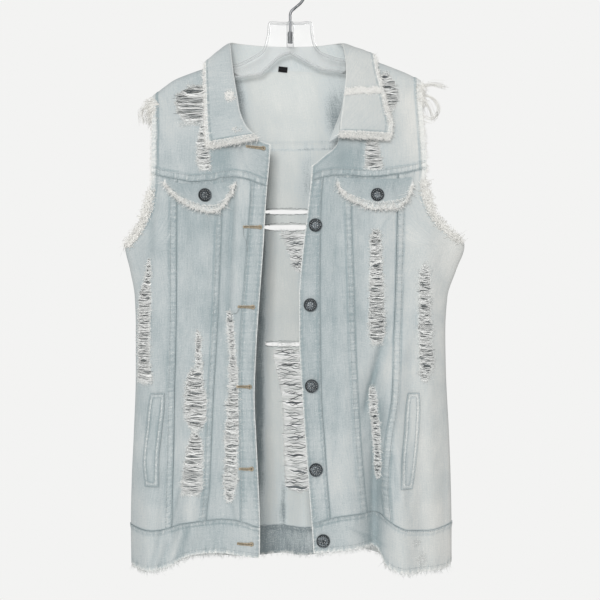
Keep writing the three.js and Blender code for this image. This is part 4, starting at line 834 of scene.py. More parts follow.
class Board:  # a material's node tree, with short ways to add to it
    def __init__(self, name):
        self.material = bpy.data.materials.new(name)
        self.material.use_nodes = True
        self.nodes = self.material.node_tree.nodes
        self.links = self.material.node_tree.links
        self.shader = self.nodes["Principled BSDF"]

    def add(self, kind, **values):
        node = self.nodes.new(kind)
        for key, value in values.items():
            setattr(node, key, value)
        return node

    def join(self, source, target):
        self.links.new(source, target)

    def sum(self, *terms):  # terms are (socket, how much it counts, its middle)
        total = None
        for socket, amount, middle in terms:
            node = self.add("ShaderNodeMath", operation="MULTIPLY_ADD")
            self.join(socket, node.inputs[0])
            node.inputs[1].default_value = amount
            node.inputs[2].default_value = -amount * middle
            if total is not None:
                more = self.add("ShaderNodeMath", operation="ADD")
                self.join(total, more.inputs[0])
                self.join(node.outputs[0], more.inputs[1])
                node = more
            total = node.outputs[0]
        return total

    def noise(self, place, scale, detail=2.0, stretch=None):
        node = self.add("ShaderNodeTexNoise")
        node.inputs["Scale"].default_value = scale
        node.inputs["Detail"].default_value = detail
        if stretch:
            mapping = self.add("ShaderNodeMapping")
            mapping.inputs["Scale"].default_value = stretch
            self.join(place, mapping.inputs["Vector"])
            place = mapping.outputs[0]
        self.join(place, node.inputs["Vector"])
        return node.outputs["Fac"]

    def ramp(self, fac, *stops):
        node = self.add("ShaderNodeValToRGB")
        stripe = node.color_ramp
        while len(stripe.elements) < len(stops):
            stripe.elements.new(0.5)
        for element, (place, colour) in zip(stripe.elements, stops):
            element.position = place
            element.color = colour
        self.join(fac, node.inputs[0])
        return node.outputs[0]

    def mix(self, fac, one, two):
        node = self.add("ShaderNodeMix", data_type="RGBA")
        self.join(fac, node.inputs[0])
        for socket, value in ((node.inputs[6], one), (node.inputs[7], two)):
            if isinstance(value, tuple):
                socket.default_value = value
            else:
                self.join(value, socket)
        return node.outputs[2]

    def put(self, values):
        for key, value in values.items():
            self.shader.inputs[key].default_value = value

    def field(self, name):
        return self.add("ShaderNodeAttribute", attribute_name=name).outputs["Fac"]

    def place(self):
        return self.add("ShaderNodeTexCoord").outputs["Object"]

    def bump(self, height, strength, distance):
        node = self.add("ShaderNodeBump")
        node.inputs["Strength"].default_value = strength
        node.inputs["Distance"].default_value = distance
        self.join(height, node.inputs["Height"])
        self.join(node.outputs[0], self.shader.inputs["Normal"])


# Washed twill with slubs, grain and diagonal ribs, in tones from deep to pale set by a field of paleness and painted
# shade, then whitened by wear and painted highlights
def denimMaterial(name, fadeShadeName, *tones):
    deep, mid, light, pale, wearAndHighlightTo = (linear(*tone) for tone in tones)
    board = Board(name)
    weave = board.add("ShaderNodeUVMap", uv_map="weave").outputs[0]
    fadeShadeAt, wearAndHighlightAt = board.field(fadeShadeName), board.field("wearAndHighlight")
    blotch = board.noise(board.place(), 24, 3)
    slub = board.noise(weave, 1, 3, stretch=(760, 42, 1))
    pick = board.noise(weave, 1, 2, stretch=(90, 800, 1))
    grain = board.noise(weave, 640, 3)
    ribs = board.add("ShaderNodeTexWave", bands_direction="DIAGONAL")
    for key, value in {"Scale": 520, "Distortion": 1.2, "Detail Scale": 1.5}.items():
        ribs.inputs[key].default_value = value
    board.join(weave, ribs.inputs["Vector"])
    rib = ribs.outputs["Fac"]
    shade = board.sum((fadeShadeAt, 1, 0), (blotch, 0.42, 0.5), (slub, 0.5, 0.5), (grain, 0.7, 0.5),
                      (pick, 0.3, 0.5), (rib, 0.1, 0.5))
    colour = board.ramp(shade, (0.0, deep), (0.42, mid), (0.72, light), (1.0, pale))
    # the tone whitened by wear and by painted highlights
    wearAndHighlightMix = board.sum((wearAndHighlightAt, 1.6, 0.1), (grain, 1.4, 0.55), (slub, 0.6, 0.5))
    wearAndHighlightClamp = board.add("ShaderNodeClamp")
    board.join(wearAndHighlightMix, wearAndHighlightClamp.inputs[0])
    rubbed = board.mix(wearAndHighlightClamp.outputs[0], colour, wearAndHighlightTo)
    board.join(rubbed, board.shader.inputs["Base Color"])
    board.bump(board.sum((rib, 0.35, 0), (grain, 0.9, 0), (slub, 0.4, 0), (pick, 0.25, 0)), 0.45, 0.0006)
    board.put({"Roughness": 0.93, "Specular IOR Level": 0.22, "Sheen Weight": 0.12, "Sheen Roughness": 0.6})
    return board.material


def threadMaterial(name, dark, light, glow=0):  # spun threads, each a little lighter or darker than the next; the emission glow is painted light standing in for light through the fibres
    dark, light = linear(*dark), linear(*light)
    board = Board(name)
    fuzz = board.noise(board.place(), 900, 2)
    shade = board.sum((board.field("tint"), 0.8, -0.1), (fuzz, 0.5, 0.5))
    board.join(board.ramp(shade, (0.0, dark), (1.0, light)), board.shader.inputs["Base Color"])
    board.bump(fuzz, 0.5, 0.0003)
    board.put({"Roughness": 0.95, "Specular IOR Level": 0.15, "Sheen Weight": 0.5, "Sheen Roughness": 0.5,
               "Emission Color": light, "Emission Strength": glow})
    return board.material


def metalMaterial(name, dark, light, roughness, grainScale):
    board = Board(name)
    place = board.place()
    patch = board.noise(place, grainScale, 4)
    board.join(board.ramp(patch, (0.3, linear(*dark)), (0.75, linear(*light))), board.shader.inputs["Base Color"])
    board.bump(board.noise(place, grainScale * 4, 2), 0.15, 0.0002)
    board.put({"Metallic": 1, "Roughness": roughness})
    return board.material


def clearPlastic():  # thin clear moulding: nearly unseen on its flats, bright along its rounded rims
    board = Board("clearHangerPlastic")
    place = board.place()
    haze = board.noise(place, 60, 3)
    board.join(board.ramp(haze, (0.2, linear(196, 200, 201)), (0.8, linear(236, 238, 238))),
               board.shader.inputs["Base Color"])
    board.bump(board.noise(place, 160, 2), 0.1, 0.0004)
    board.put({"Roughness": 0.12})
    clear, either = board.add("ShaderNodeBsdfTransparent"), board.add("ShaderNodeMixShader")
    clear.inputs["Color"].default_value = linear(251, 251, 251)
    edge = board.add("ShaderNodeLayerWeight")
    edge.inputs["Blend"].default_value = 0.42
    amount = board.ramp(edge.outputs["Facing"], (0.0, (0.08, 0.08, 0.08, 1)), (0.35, (0.2, 0.2, 0.2, 1)),
                        (0.9, (0.8, 0.8, 0.8, 1)))
    board.join(amount, either.inputs[0])
    board.join(clear.outputs[0], either.inputs[1])
    board.join(board.shader.outputs[0], either.inputs[2])
    board.join(either.outputs[0], board.nodes["Material Output"].inputs["Surface"])
    return board.material


finishes = {
    "denim": denimMaterial("washedDenim", "pale", (144, 157, 160), (180, 187, 188),
                           (197, 200, 198), (212, 212, 208), (230, 230, 226)),
    "reverse": denimMaterial("denimReverse", "inner", (128, 138, 141), (196, 203, 204),
                             (205, 209, 207), (216, 218, 215), (228, 228, 224)),
    "thread": threadMaterial("weftThread", (206, 208, 206), (250, 250, 248), 0.06),
    "fray": threadMaterial("frayedEnds", (210, 210, 206), (249, 248, 245), 0.13),
    "ends": threadMaterial("brokenEnds", (196, 201, 200), (240, 240, 237), 0.05),
    "matted": threadMaterial("mattedFringe", (204, 203, 198), (242, 241, 237), 0.09),
    # painted shadow for the open slits of the rips and the back's gaps
    "deep": threadMaterial("paintedSlitShadow", (56, 63, 67), (112, 120, 123)),
    "stitch": threadMaterial("seamThread", (132, 143, 146), (190, 197, 196)),
    "buttonhole": threadMaterial("buttonholeThread", (142, 126, 98), (204, 188, 160)),
    "darkHole": threadMaterial("buttonholeShade", (74, 68, 58), (104, 96, 82)),
    "pewter": metalMaterial("agedPewter", (44, 49, 52), (104, 110, 113), 0.5, 700),
    "rubbed": metalMaterial("rubbedPewter", (120, 124, 126), (186, 188, 189), 0.42, 900),
    "steel": metalMaterial("polishedWire", (92, 94, 97), (150, 152, 154), 0.3, 300),
    "plastic": clearPlastic(),
    "label": threadMaterial("blackLabel", (16, 16, 18), (40, 40, 42)),
}
print("finishes ready")


def awayFromRips(name, x, height):
    away = np.full(x.shape, 60.0)
    for rip in ripsOf(name):
        low, high = ripSpan(rip)
        middle, half = ripShape(rip, np.clip(height, low, high))
        past = np.maximum(np.maximum(low - height, height - high), 0)
        away = np.minimum(away, np.hypot(np.maximum(np.abs(x - middle) - half, 0), past))
    return away


def buildPanel(name, panel):
    side = panel["side"]
    x, height = panelPlaces(panel, cloth["cell"] if side < 0 else cloth["backCell"])
    x, height = snapToRips(name, x, height)
    points = clothPoint(side, x, height)
    normals = gridNormals(points)
    outwards = np.array([0, side, 0.0])
    normals = normals * (1 if (normals * outwards).sum(-1).mean() > 0 else -1)
    points = points + normals * relief(panel, x, height)[..., None]
    middleX = 0.25 * (x[1:, 1:] + x[1:, :-1] + x[:-1, 1:] + x[:-1, :-1])
    middleHeight = 0.25 * (height[1:, 1:] + height[1:, :-1] + height[:-1, 1:] + height[:-1, :-1])
    keep = ~ripped(name, middleX, middleHeight)
    waves = puckers(panel, x, height)
    nearRip = bell(awayFromRips(name, x, height), 3)
    wearAndHighlight = 0.34 * np.clip(waves, 0, 1) + nearRip * (0.2 + 0.4 * wave(height + 0.7 * x, 3, 6))
    shade = -0.26 * np.clip(-waves, 0, 1)
    seamShade = 0.5 if side < 0 else 0.3
    for edge, sewn in panel["sewn"].items():
        away, place = edgeDistance(panel, edge, x, height)
        # Along the opening edges and the neck: a light line, partly wear and partly a painted highlight on the folded
        # edge, and a darker line 4 mm in
        opening = side < 0 and edge == "last" and "front" not in name
        if opening or (edge == "high" and not sewn and side < 0):
            wearAndHighlight = wearAndHighlight + 0.6 * bell(away, 1.4) * (np.abs(x) < 80)
            shade = shade - 0.25 * bell(away - 4, 1.3) * (np.abs(x) < 80)
        elif sewn:
            shade = shade - seamShade * bell(away, 1.3)
        elif edge == "low":
            wearAndHighlight = wearAndHighlight + (0.45 + 0.4 * wave(place, 12, 8)) * bell(away, 3.5)
        elif edge != "high":
            foot = np.where(x < 0, armholeFoot[-1], armholeFoot[1])
            torn = within(foot + 6 - height, 0, 2)
            ragged = within(away - wave(place, 13, 9), 6.5, 0.7)
            wearAndHighlight = wearAndHighlight + torn * ragged * (0.42 + 0.3 * wave(place + 2 * away, 17, 5))
            shade = shade - 0.28 * torn * bell(away - 9, 1.2)
    for edge, width in panel["felled"].items():
        away, place = edgeDistance(panel, edge, x, height)
        inBand = within(away, width, cloth["felledSoft"])
        ridge = wave(place, 31, 4.2)
        shade = shade - 0.66 * seamShade * bell(away - width - 0.8, 1.2)
        shade = shade - 0.4 * seamShade * inBand * np.clip(-ridge, 0, 1)
        wearAndHighlight = wearAndHighlight + 0.16 * inBand * np.clip(ridge, 0, 1)
    pale = paleness("front" if side < 0 else "back", x, height) + shade
    inner = paleness("front" if side < 0 else "inside", x, height) + shade
    if name == "back_hem_band":
        inner = inner - cloth["bandShade"]
    fields = {"pale": np.clip(pale, 0, 1), "inner": np.clip(inner, 0, 1), "wearAndHighlight": np.clip(wearAndHighlight, 0, 1)}
    makeSheet(name, points, outwards, cloth["thickness"], fields, ("denim", "reverse"), keep)


for name, panel in panels.items():
    buildPanel(name, panel)
print("panels made")

# Rows of stitches, as small arched tubes
stitches = {"pitch": 3.5, "length": 2.6, "radius": 0.36, "lift": 0.42}


def runAlong(line):  # the distance along a line to each of its points
    return np.concatenate([[0], np.cumsum(np.linalg.norm(np.diff(line, axis=0), axis=1))])


def pickAlong(values, run, places):  # what a line's points hold, at places between them
    return np.stack([np.interp(places, run, values[:, k]) for k in range(3)], axis=-1)


def stitchPath(panel, edge, away):
    t = np.linspace(0, 1, 500)
    if edge in ("first", "last"):
        low, high = panel["low"], panel["high"]
        x = panel[edge](panel["start"]) + 0 * t
        for _ in range(6):
            top = high(x) - (4 if panel["rolled"] else 1.5)
            height = low(x) + 1.5 + (top - low(x) - 1.5) * t
            way = np.sign(panel["last"](height) - panel["first"](height)) * (1 if edge == "first" else -1)
            x = panel[edge](height) + way * away
    else:
        height = np.full(t.shape, panel["start"])
        for _ in range(6):
            first, last = panel["first"](height), panel["last"](height)
            way = np.sign(last - first)
            x = first + way * 2 + (last - first - way * 4) * t
            height = panel[edge](x) + (away if edge == "low" else -away)
    return x, height


def stitchesAlong(name, panel, edge, away, chance):
    side = panel["side"]
    x, height = stitchPath(panel, edge, away)
    line = clothPoint(side, x, height)
    run = runAlong(line)
    count = int(run[-1] / stitches["pitch"])
    start = (np.arange(count) + 0.1 * chance.random(count)) * stitches["pitch"]
    spots = start[:, None] + stitches["length"] * np.array([0, 0.5, 1])
    stitchX, stitchHeight = np.interp(spots, run, x), np.interp(spots, run, height)
    whole = ~ripped(name, stitchX, stitchHeight).any(axis=1)
    stitchX, stitchHeight = stitchX[whole], stitchHeight[whole]
    out = relief(panel, stitchX, stitchHeight) + stitches["lift"] * np.array([-0.5, 1, -0.5])
    return clothPoint(side, stitchX, stitchHeight) + clothNormal(side, stitchX, stitchHeight) * out[..., None]


chance = np.random.default_rng(seeds["stitches"])
for label in ("right", "left", "back"):
    groups = []
    for name, panel in panels.items():
        if name.startswith(label):
            for edge, away in panel["rows"]:
                groups.append((stitchesAlong(name, panel, edge, away, chance), stitches["radius"]))
    finishPiece(tubePiece(f"{label}.stitches", groups, finishes["stitch"], chance), "denim")
print("stitches made")

# Threads left across the rips, and the broken ends round them
ripThreads = {"spacing": 0.7, "radius": 0.43, "sag": 0.07, "tuck": 1.8, "bulge": 1.0, "slitEvery": 3.1,
              "shadeLift": -0.25, "ends": 5}


def onCloth(side, x, height, out):
    return clothPoint(side, x, height) + clothNormal(side, x, height) * np.asarray(out)[..., None]


def partThreads(x, z, slits):  # threads beside an open slit are pushed up or down, and leave a lens between them
    for level, middle, half, opening, tilt in slits:
        away = z - level - tilt * (x - middle)
        side = np.where(away.mean(axis=1, keepdims=True) < 0, -1, 1)
        z = z + side * 0.5 * opening * lens(x - middle, half) * np.exp(-np.abs(away) / (1.3 * opening))
    return z


def openSlits(rip):  # the large ones of the table and small ones between them
    low, high = ripSpan(rip)
    chance = np.random.default_rng(int(10 * low - 3 * rip[1][0][1]) + 900)
    small = []
    for level in np.arange(low + 2, high - 1, ripThreads["slitEvery"]):
        level = level + chance.normal(0, 0.7)
        centre, reach = ripShape(rip, np.array(level))
        small.append((level, centre + 0.6 * reach * chance.uniform(-1, 1), reach * chance.uniform(0.4, 0.95),
                      chance.uniform(0.7, 2), chance.normal(0, 0.15)))
    return small + list(rip[2])


def threadsAcross(rip, chance):
    side = ripSide(rip)
    low, high = ripSpan(rip)
    height = np.arange(low - 1, high + 1, ripThreads["spacing"])
    count = len(height)
    height = height + chance.normal(0, 0.22, count)
    u = np.linspace(-1, 1, 9)
    middle, half = ripShape(rip, height)
    half = np.maximum(half, 1)
    x = middle[:, None] + u * (half + ripThreads["tuck"])[:, None]
    width = 2 * np.median(half)
    sag = ripThreads["sag"] * width * (1 + 0.9 * wave(height, low, 19)) + chance.normal(0, 0.16, count)
    curl = 0.05 * min(width, 24) * wave(height[:, None] + 5 * u, low + 4, 11) * (1 - u ** 4)
    z = height[:, None] - sag[:, None] * (1 - u ** 2) + curl + chance.normal(0, 0.12, (count, 9))
    z = partThreads(x, z, openSlits(rip))
    out = -0.45 + (ripThreads["bulge"] + chance.normal(0, 0.4, (count, 1))) * (1 - u ** 2) ** 0.5
    radius = ripThreads["radius"] * (0.6 + 0.9 * chance.random((count, 1)) ** 2)
    return onCloth(side, x, z, out), radius * (1 - 0.15 * np.abs(u))


def looseEnds(side, x, height, angle, length, chance, lift=0.9, radius=0.3):  # short curved fibres on the cloth
    count = len(x)
    t = np.linspace(0, 1, 4)
    turn = angle[:, None] + chance.normal(0, 1.1, (count, 1)) * t
    reach = length[:, None] / 3
    stepX = np.cumsum(np.concatenate([np.zeros((count, 1)), reach * np.cos(turn[:, 1:])], axis=1), axis=1)
    stepZ = np.cumsum(np.concatenate([np.zeros((count, 1)), reach * np.sin(turn[:, 1:])], axis=1), axis=1)
    rise = 0.15 + lift * chance.random((count, 1)) * np.sin(2.6 * t) + 0.1 * chance.random((count, 1))
    paths = onCloth(side, x[:, None] + stepX, height[:, None] + stepZ, rise)
    return paths, radius * (1 - 0.5 * t) * np.ones((count, 1))


def slitShades(rip):  # painted shadow: dark strands in the open slits, between the threads
    side = ripSide(rip)
    u = np.linspace(-1, 1, 9)
    paths, radii = [], []
    for level, middle, half, opening, tilt in openSlits(rip):
        z = level + tilt * u * half + (0.2 if side < 0 else 0.8) * np.sin(5 * u + level)
        lift = ripThreads["shadeLift"] + ripThreads["bulge"] * np.sqrt(lens(u * half, half + 4))
        paths.append(onCloth(side, middle + u * half, z, lift if side < 0 else -0.5 - 0.6 * lift))
        radii.append((0.14 + (0.24 if side < 0 else 0.3) * opening) * np.clip(1 - u ** 2, 0.05, 1) ** 0.6)
    return np.array(paths), np.array(radii)


def gapShades(open):  # painted shadow: dark ragged lips along the two edges of one of the back's gaps
    level, middle, width, _ = open
    x = middle + 0.48 * width * np.linspace(-1, 1, 41)
    lips = []
    for hand in (-1, 1):
        z = level + hand * (gapHalf(open, x) + 0.9) + 0.7 * wave(x, level + hand, 7)
        lips.append(onCloth(1, x, z, -1.3))
    return np.array(lips), 0.32 + 0.2 * wave(x, level, 11)


def ripEnds(rip, chance):  # broken ends along both sides, and the warp ends at head and foot
    side = ripSide(rip)
    low, high = ripSpan(rip)
    count = int((high - low) * ripThreads["ends"])
    hand = np.where(chance.random(count) < 0.5, -1, 1)
    tufts = low + (high - low) * chance.random(int(count / 9))
    height = tufts[chance.integers(0, len(tufts), count)] + chance.normal(0, 0.8, count)
    middle, half = ripShape(rip, height)
    x = middle + hand * (half + chance.normal(0.2, 0.8, count))
    inward = np.where((chance.random(count) < 0.6) == (hand > 0), math.pi, 0)
    angle = inward + 0.8 * hand * wave(height, low, 7) + chance.normal(0, 0.35, count)
    groups = [looseEnds(side, x, height, angle, 1.2 + 3.8 * chance.random(count) ** 2, chance, 1.2, 0.36)]
    for level, way in ((low - 1, 1), (high + 1, -1)):
        middle, half = ripShape(rip, np.array(level + 2.5 * way))
        count = int(max(half, 2) * 9)
        x = middle + half * chance.uniform(-1.15, 1.15, count)
        z = level + chance.normal(0, 0.8, count)
        angle = np.where(chance.random(count) < 0.6, 1, -1) * way * math.pi / 2 + chance.normal(0, 0.5, count)
        groups.append(looseEnds(side, x, z, angle, 1.5 + 4 * chance.random(count) ** 1.5, chance))
    return groups


# Scuffs: places rubbed to white fluff: side, x, height, reach across and up, how many
scuffs = [
    (-1, -84, 150, 5, 22, 300), (-1, -82, 215, 5, 22, 300), (-1, -80, 270, 4, 16, 180), (-1, -86, 340, 3, 20, 110),
    (-1, 188, 25, 6, 12, 170), (-1, 180, 50, 5, 6, 70), (-1, -136, 208, 5, 6, 90), (-1, -128, 300, 3, 24, 90),
    (-1, -124, 590, 6, 8, 120), (-1, 120, 584, 8, 5, 90), (-1, 118, 250, 4, 12, 90), (-1, 192, 440, 5, 8, 60),
    (-1, -208, 276, 8, 4, 80), (-1, 196, 284, 9, 5, 90), (-1, -150, 652, 10, 5, 90), (-1, 124, 333, 8, 3, 60),
    (1, 8, 104, 12, 4, 60), (1, -6, 330, 16, 4, 90),
]


def scuffEnds(label, chance):
    groups = []
    for side, x, height, reach, tall, count in scuffs:
        mine = "back" if side > 0 else ("right" if x < 0 else "left")
        if mine != label:
            continue
        at = chance.normal(0, 0.55, (count, 2))
        angle = chance.uniform(-3.2, 3.2, count)
        length = 1.2 + 3.4 * chance.random(count) ** 1.4
        groups.append(looseEnds(side, x + reach * at[:, 0], height + tall * at[:, 1], angle, length, chance, 0.7))
    return groups


def gapThreads(open, chance):  # threads along and across one of the back's long gaps
    level, middle, width, gap = open
    count = 22
    u = np.linspace(-1, 1, 11)
    hand = np.where(chance.random(count) < 0.6, 1, -1)
    rim = hand * 0.5 * gap * (0.92 + 0.4 * chance.random(count))
    x = middle + 0.5 * width * u * (0.8 + 0.25 * chance.random((count, 1)))
    follow = lens(x - middle, 0.5 * width) ** 0.35
    sag = chance.normal(0.5, 0.7, (count, 1)) * (1 - u ** 2)
    z = level + rim[:, None] * follow - sag + 0.3 * np.sin(5 * u + 6 * chance.random((count, 1)))
    out = -0.4 + chance.normal(0, 0.5, (count, 1)) * (1 - u ** 2)
    return onCloth(1, x, z, out), 0.42


chance = np.random.default_rng(seeds["rips"])
for label in ("right", "left", "back"):
    mine = [rip for rip in rips if rip[0].startswith(label)]
    groups = [threadsAcross(rip, chance) for rip in mine]
    if label == "back":
        groups += [gapThreads(open, chance) for open in backGaps]
    spun = finishes["ends" if label == "back" else "thread"]
    finishPiece(tubePiece(f"{label}.ripThreads", groups, spun, chance), "fray")
    groups = [group for rip in mine for group in ripEnds(rip, chance)] + scuffEnds(label, chance)
    finishPiece(tubePiece(f"{label}.ripEnds", groups, finishes["ends"], chance), "fray")
    # painted shadow: dark strands in the slits, and along the back's gaps
    groups = [slitShades(rip) for rip in mine] + [gapShades(open) for open in backGaps if label == "back"]
    finishPiece(tubePiece(f"{label}.slitShades", groups, finishes["deep"], chance), "fray")
print("rips threaded")

# The collar, by stations from its right front end round the neck: neck seam, roll and outer edge
collarTable = [
    ((-51, -22, 631), (-47, -29, 629), (-119, -24, 616)),
    ((-64, -21, 645), (-62, -29, 643), (-121.5, -22.5, 638)),
    ((-72, -18, 664), (-72, -26, 663), (-122, -20.5, 660)),
    ((-79, -15, 690), (-77, -23, 690), (-123, -17.5, 688)),
    ((-86, -12, 722), (-83, -18, 727), (-124, -15, 718)),
    ((-93, -3, 746), (-87, -6, 762), (-124, -6, 742)),
    ((-93, 6, 746), (-87, 8, 773), (-119, 16, 739)),
    ((-76, 17, 731), (-73, 20, 775), (-93, 26, 716)),
    ((-43, 19, 734), (-42, 23, 773), (-50, 28, 711)),
    ((0, 19, 737), (0, 24, 772), (0, 28, 710)),
    ((43, 19, 735), (40, 23, 773), (50, 28, 712)),
    ((76, 17, 734), (65, 20, 775), (92, 26, 720)),
    ((92, 6, 755), (75, 8, 772), (116, 16, 751)),
    ((91, -3, 755), (79, -6, 760), (122, -7, 753)),
    ((85, -11, 724), (82, -18, 724), (128, -15, 722)),
    ((79, -15, 692), (79, -23, 694), (135, -17.5, 697)),
    ((74, -18, 668), (76, -26, 670), (141, -20, 672)),
    ((66, -20, 646), (73, -29, 651), (147, -21.5, 651)),
    ((58, -21, 624), (72, -30, 632), (144, -23.5, 629)),
]
collar = {
    "stretches": 300,
    "rows": 33,
    "thickness": 1.7,
    "outer": 1.8,  # how far its outer face stands off the line between roll and edge
    "bulge": smooth([0, 0.08, 0.25, 0.5, 0.75, 1], [0, 2, 3.2, 3, 1.6, 0]),
    "standClear": 0.6,
    "standThickness": 1.5,
}


def roundCurve(stations, count):  # a centripetal curve through the stations
    stations = np.array(stations, float)
    ends = np.concatenate([[2 * stations[0] - stations[1]], stations, [2 * stations[-1] - stations[-2]]])
    place = np.linspace(0, len(stations) - 1, count + 1)
    i = np.minimum(place.astype(int), len(stations) - 2)
    t = (place - i)[:, None]
    p0, p1, p2, p3 = ends[i], ends[i + 1], ends[i + 2], ends[i + 3]
    d0, d1, d2 = (np.sqrt(np.linalg.norm(b - a, axis=1))[:, None] for a, b in ((p0, p1), (p1, p2), (p2, p3)))
    t1 = ((p1 - p0) / d0 - (p2 - p0) / (d0 + d1) + (p2 - p1) / d1) * d1
    t2 = ((p2 - p1) / d1 - (p3 - p1) / (d1 + d2) + (p3 - p2) / d2) * d1
    return p1 + t1 * t + (3 * p2 - 3 * p1 - 2 * t1 - t2) * t * t + (2 * p1 - 2 * p2 + t1 + t2) * t ** 3


def facing(vectors, towards):  # turns round those that point the other way
    return vectors * np.where((vectors * towards).sum(-1, keepdims=True) < 0, -1, 1)


def buildCollar():
    count = collar["stretches"]
    neck, roll, edge = (roundCurve([row[k] for row in collarTable], count) for k in range(3))
    way = unit(np.cross(np.gradient(roll, axis=0), edge - roll))
    away = np.stack([roll[:, 0] * 0.3, roll[:, 1], np.full(count + 1, 4.0)], axis=1)
    way = facing(way, away)
    share = np.linspace(0, 1, collar["rows"] + 1)[:, None, None]
    run = np.linspace(0, 1, count + 1)
    points = roll + (edge - roll) * share + way * collar["bulge"](share[..., 0])[..., None]
    normals = facing(gridNormals(points), way)
    share = share[..., 0]
    spread = 440 * run
    soft = 0.5 * wave(spread + 40 * share, 3, 46) * np.sin(math.pi * share)
    stitched = -0.35 * bell(share - 0.9, 0.03)
    edgePucker = 0.3 * wave(spread, 9, 9) * bell(share - 0.9, 0.1)
    points = points + normals * (collar["outer"] + soft + stitched + edgePucker)[..., None]
    paleAt = smooth([0, 0.16, 0.3, 0.5, 0.7, 0.84, 1], [0.4, 0.4, 0.5, 0.6, 0.65, 0.68, 0.66])(run)
    ends = bell(run, 0.006) + bell(1 - run, 0.006)
    wearAndHighlight = 0.5 * bell(1 - share, 0.08) + 0.6 * np.clip(edgePucker / 0.3, 0, 1) + 0.5 * ends
    # lighter along the roll line: partly wear, partly a painted highlight on the fold
    wearAndHighlight = wearAndHighlight + 0.5 * bell(share, 0.03)
    line = bell(share - 0.88, 0.022) + bell(run - 0.023, 0.0035) + bell(run - 0.977, 0.0035)
    fields = {"pale": np.clip(paleAt - 0.4 * line, 0, 1), "wearAndHighlight": np.clip(wearAndHighlight, 0, 1)}
    makeSheet("collar_fall", points, way, collar["thickness"], fields)

    top = roll + unit(neck - roll) * collar["standClear"]
    stand = neck + (top - neck) * np.linspace(-0.07, 1, 17)[:, None, None]
    fields = {"inner": np.full(stand.shape[:2], 0.55), "wearAndHighlight": np.full(stand.shape[:2], 0.12)}
    makeSheet("collar_stand", stand, edge - roll, collar["standThickness"], fields, ("reverse",))
    return points, normals


collarPoints, collarNormals = buildCollar()
print("collar made")

# Pocket flaps, by distance out: lower edge and upper edge
flapTables = {-1: {
    "out": [77, 84, 91, 98, 107, 121, 132, 149, 163, 173, 181],
    "low": [562, 551, 540, 529, 523, 522.5, 526, 535, 543, 552, 564],
    "top": [566.5, 567.5, 567, 565, 563, 561, 561, 563, 565, 567.5, 569.5],
}, 1: {
    "out": [67, 75, 86, 102, 114, 128, 149, 162, 171, 177],
    "low": [562, 548.5, 540, 534, 528.5, 527, 528.5, 534, 545.5, 562],
    "top": [571, 571, 571, 570, 569.5, 569.5, 570.5, 571.5, 573, 574],
}}
flap = {"seat": 0.7, "thickness": 1.9, "lift": 3.5, "columns": 70, "rows": 26}


def buildFlap(hand, table, creases):
    edges = curvesOf(table)
    out = np.linspace(table["out"][0], table["out"][-1], flap["columns"])
    share = np.linspace(1, 0, flap["rows"])[:, None]
    low, top = edges["low"](out), edges["top"](out)
    height = low + (top - low) * share
    x = np.broadcast_to(hand * out, height.shape)
    away = height - low
    stitched = -0.3 * bell(away - 6.5, 1.2)
    pucker = 0.35 * wave(out, 4 + hand, 8) * bell(away - 5, 5)
    lift = flap["seat"] + flap["thickness"] + flap["lift"] * (1 - share) ** 1.5 + stitched + pucker
    points = onCloth(-1, x, height, lift + foldRise(creases, x, height))
    wearAndHighlight = 0.4 * bell(away, 5.5) + 0.7 * np.clip(pucker / 0.35, 0, 1)
    wearAndHighlight = wearAndHighlight + 0.3 * bell(out - out[0], 4) + 0.3 * bell(out[-1] - out, 4)
    pale = np.full(height.shape, 0.34 if hand < 0 else 0.36) - 0.2 * share
    fields = {"pale": pale, "wearAndHighlight": np.clip(wearAndHighlight, 0, 1)}
    makeSheet(f"{sides[hand]}_pocket_flap", points, np.array([0, -1.0, 0]), flap["thickness"], fields)
    return points


flapCreases = {
    -1: [(-1.2, 3, -100, 528, -112, 566, 3), (1, 5, -140, 536, -132, 560, 4), (-0.8, 3, -152, 540, -158, 562, 3)],
    1: [(-0.9, 2.6, 140, 558, 80, 565, 3), (0.8, 5, 110, 536, 118, 560, 4), (-0.8, 3, 156, 540, 150, 562, 3)],
}
flapPoints = {hand: buildFlap(hand, table, flapCreases[hand]) for hand, table in flapTables.items()}

# Welt pockets: the outline's two long edges
weltTables = {-1: {
    "height": [129, 166, 211, 250, 262],
    "inner": [188, 188, 184, 181, 181],
    "outer": [207, 211, 207, 203, 200],
}, 1: {
    "height": [128, 155, 197, 245, 263],
    "inner": [157, 157, 161, 165, 168],
    "outer": [173, 178, 183, 186, 185],
}}
welt = {"seat": 1.0, "thickness": 1.5, "columns": 13, "rows": 62}


def buildWelt(hand, table):
    edges = curvesOf(table)
    height = np.linspace(table["height"][0], table["height"][-1], welt["rows"])[:, None]
    share = np.linspace(0, 1, welt["columns"])
    inner, outer = edges["inner"](height), edges["outer"](height)
    x = hand * (inner + (outer - inner) * share)
    height = np.broadcast_to(height, x.shape)
    fromSide = np.minimum(share, 1 - share) * (outer - inner)
    fromEnd = np.minimum(height - table["height"][0], table["height"][-1] - height)
    away = np.minimum(fromSide, fromEnd)
    out = welt["seat"] + welt["thickness"] - 0.45 * bell(away - 2.6, 1.1)
    out = out + 0.22 * wave(height, 5 + hand, 9) * bell(away, 5)
    points = onCloth(-1, x, height, out)
    wearAndHighlight = 0.35 * bell(away - 3.6, 1.2) * (1 + wave(height, 5, 9))
    pale = paleness("front", x, height) - 0.05 - 0.45 * bell(away, 1.1) - 0.3 * bell(away - 6, 1.1)
    fields = {"pale": np.clip(pale, 0, 1), "wearAndHighlight": np.clip(wearAndHighlight, 0, 1)}
    makeSheet(f"{sides[hand]}_welt_pocket", points, np.array([0, -1.0, 0]), welt["thickness"], fields)


for hand, table in weltTables.items():
    buildWelt(hand, table)

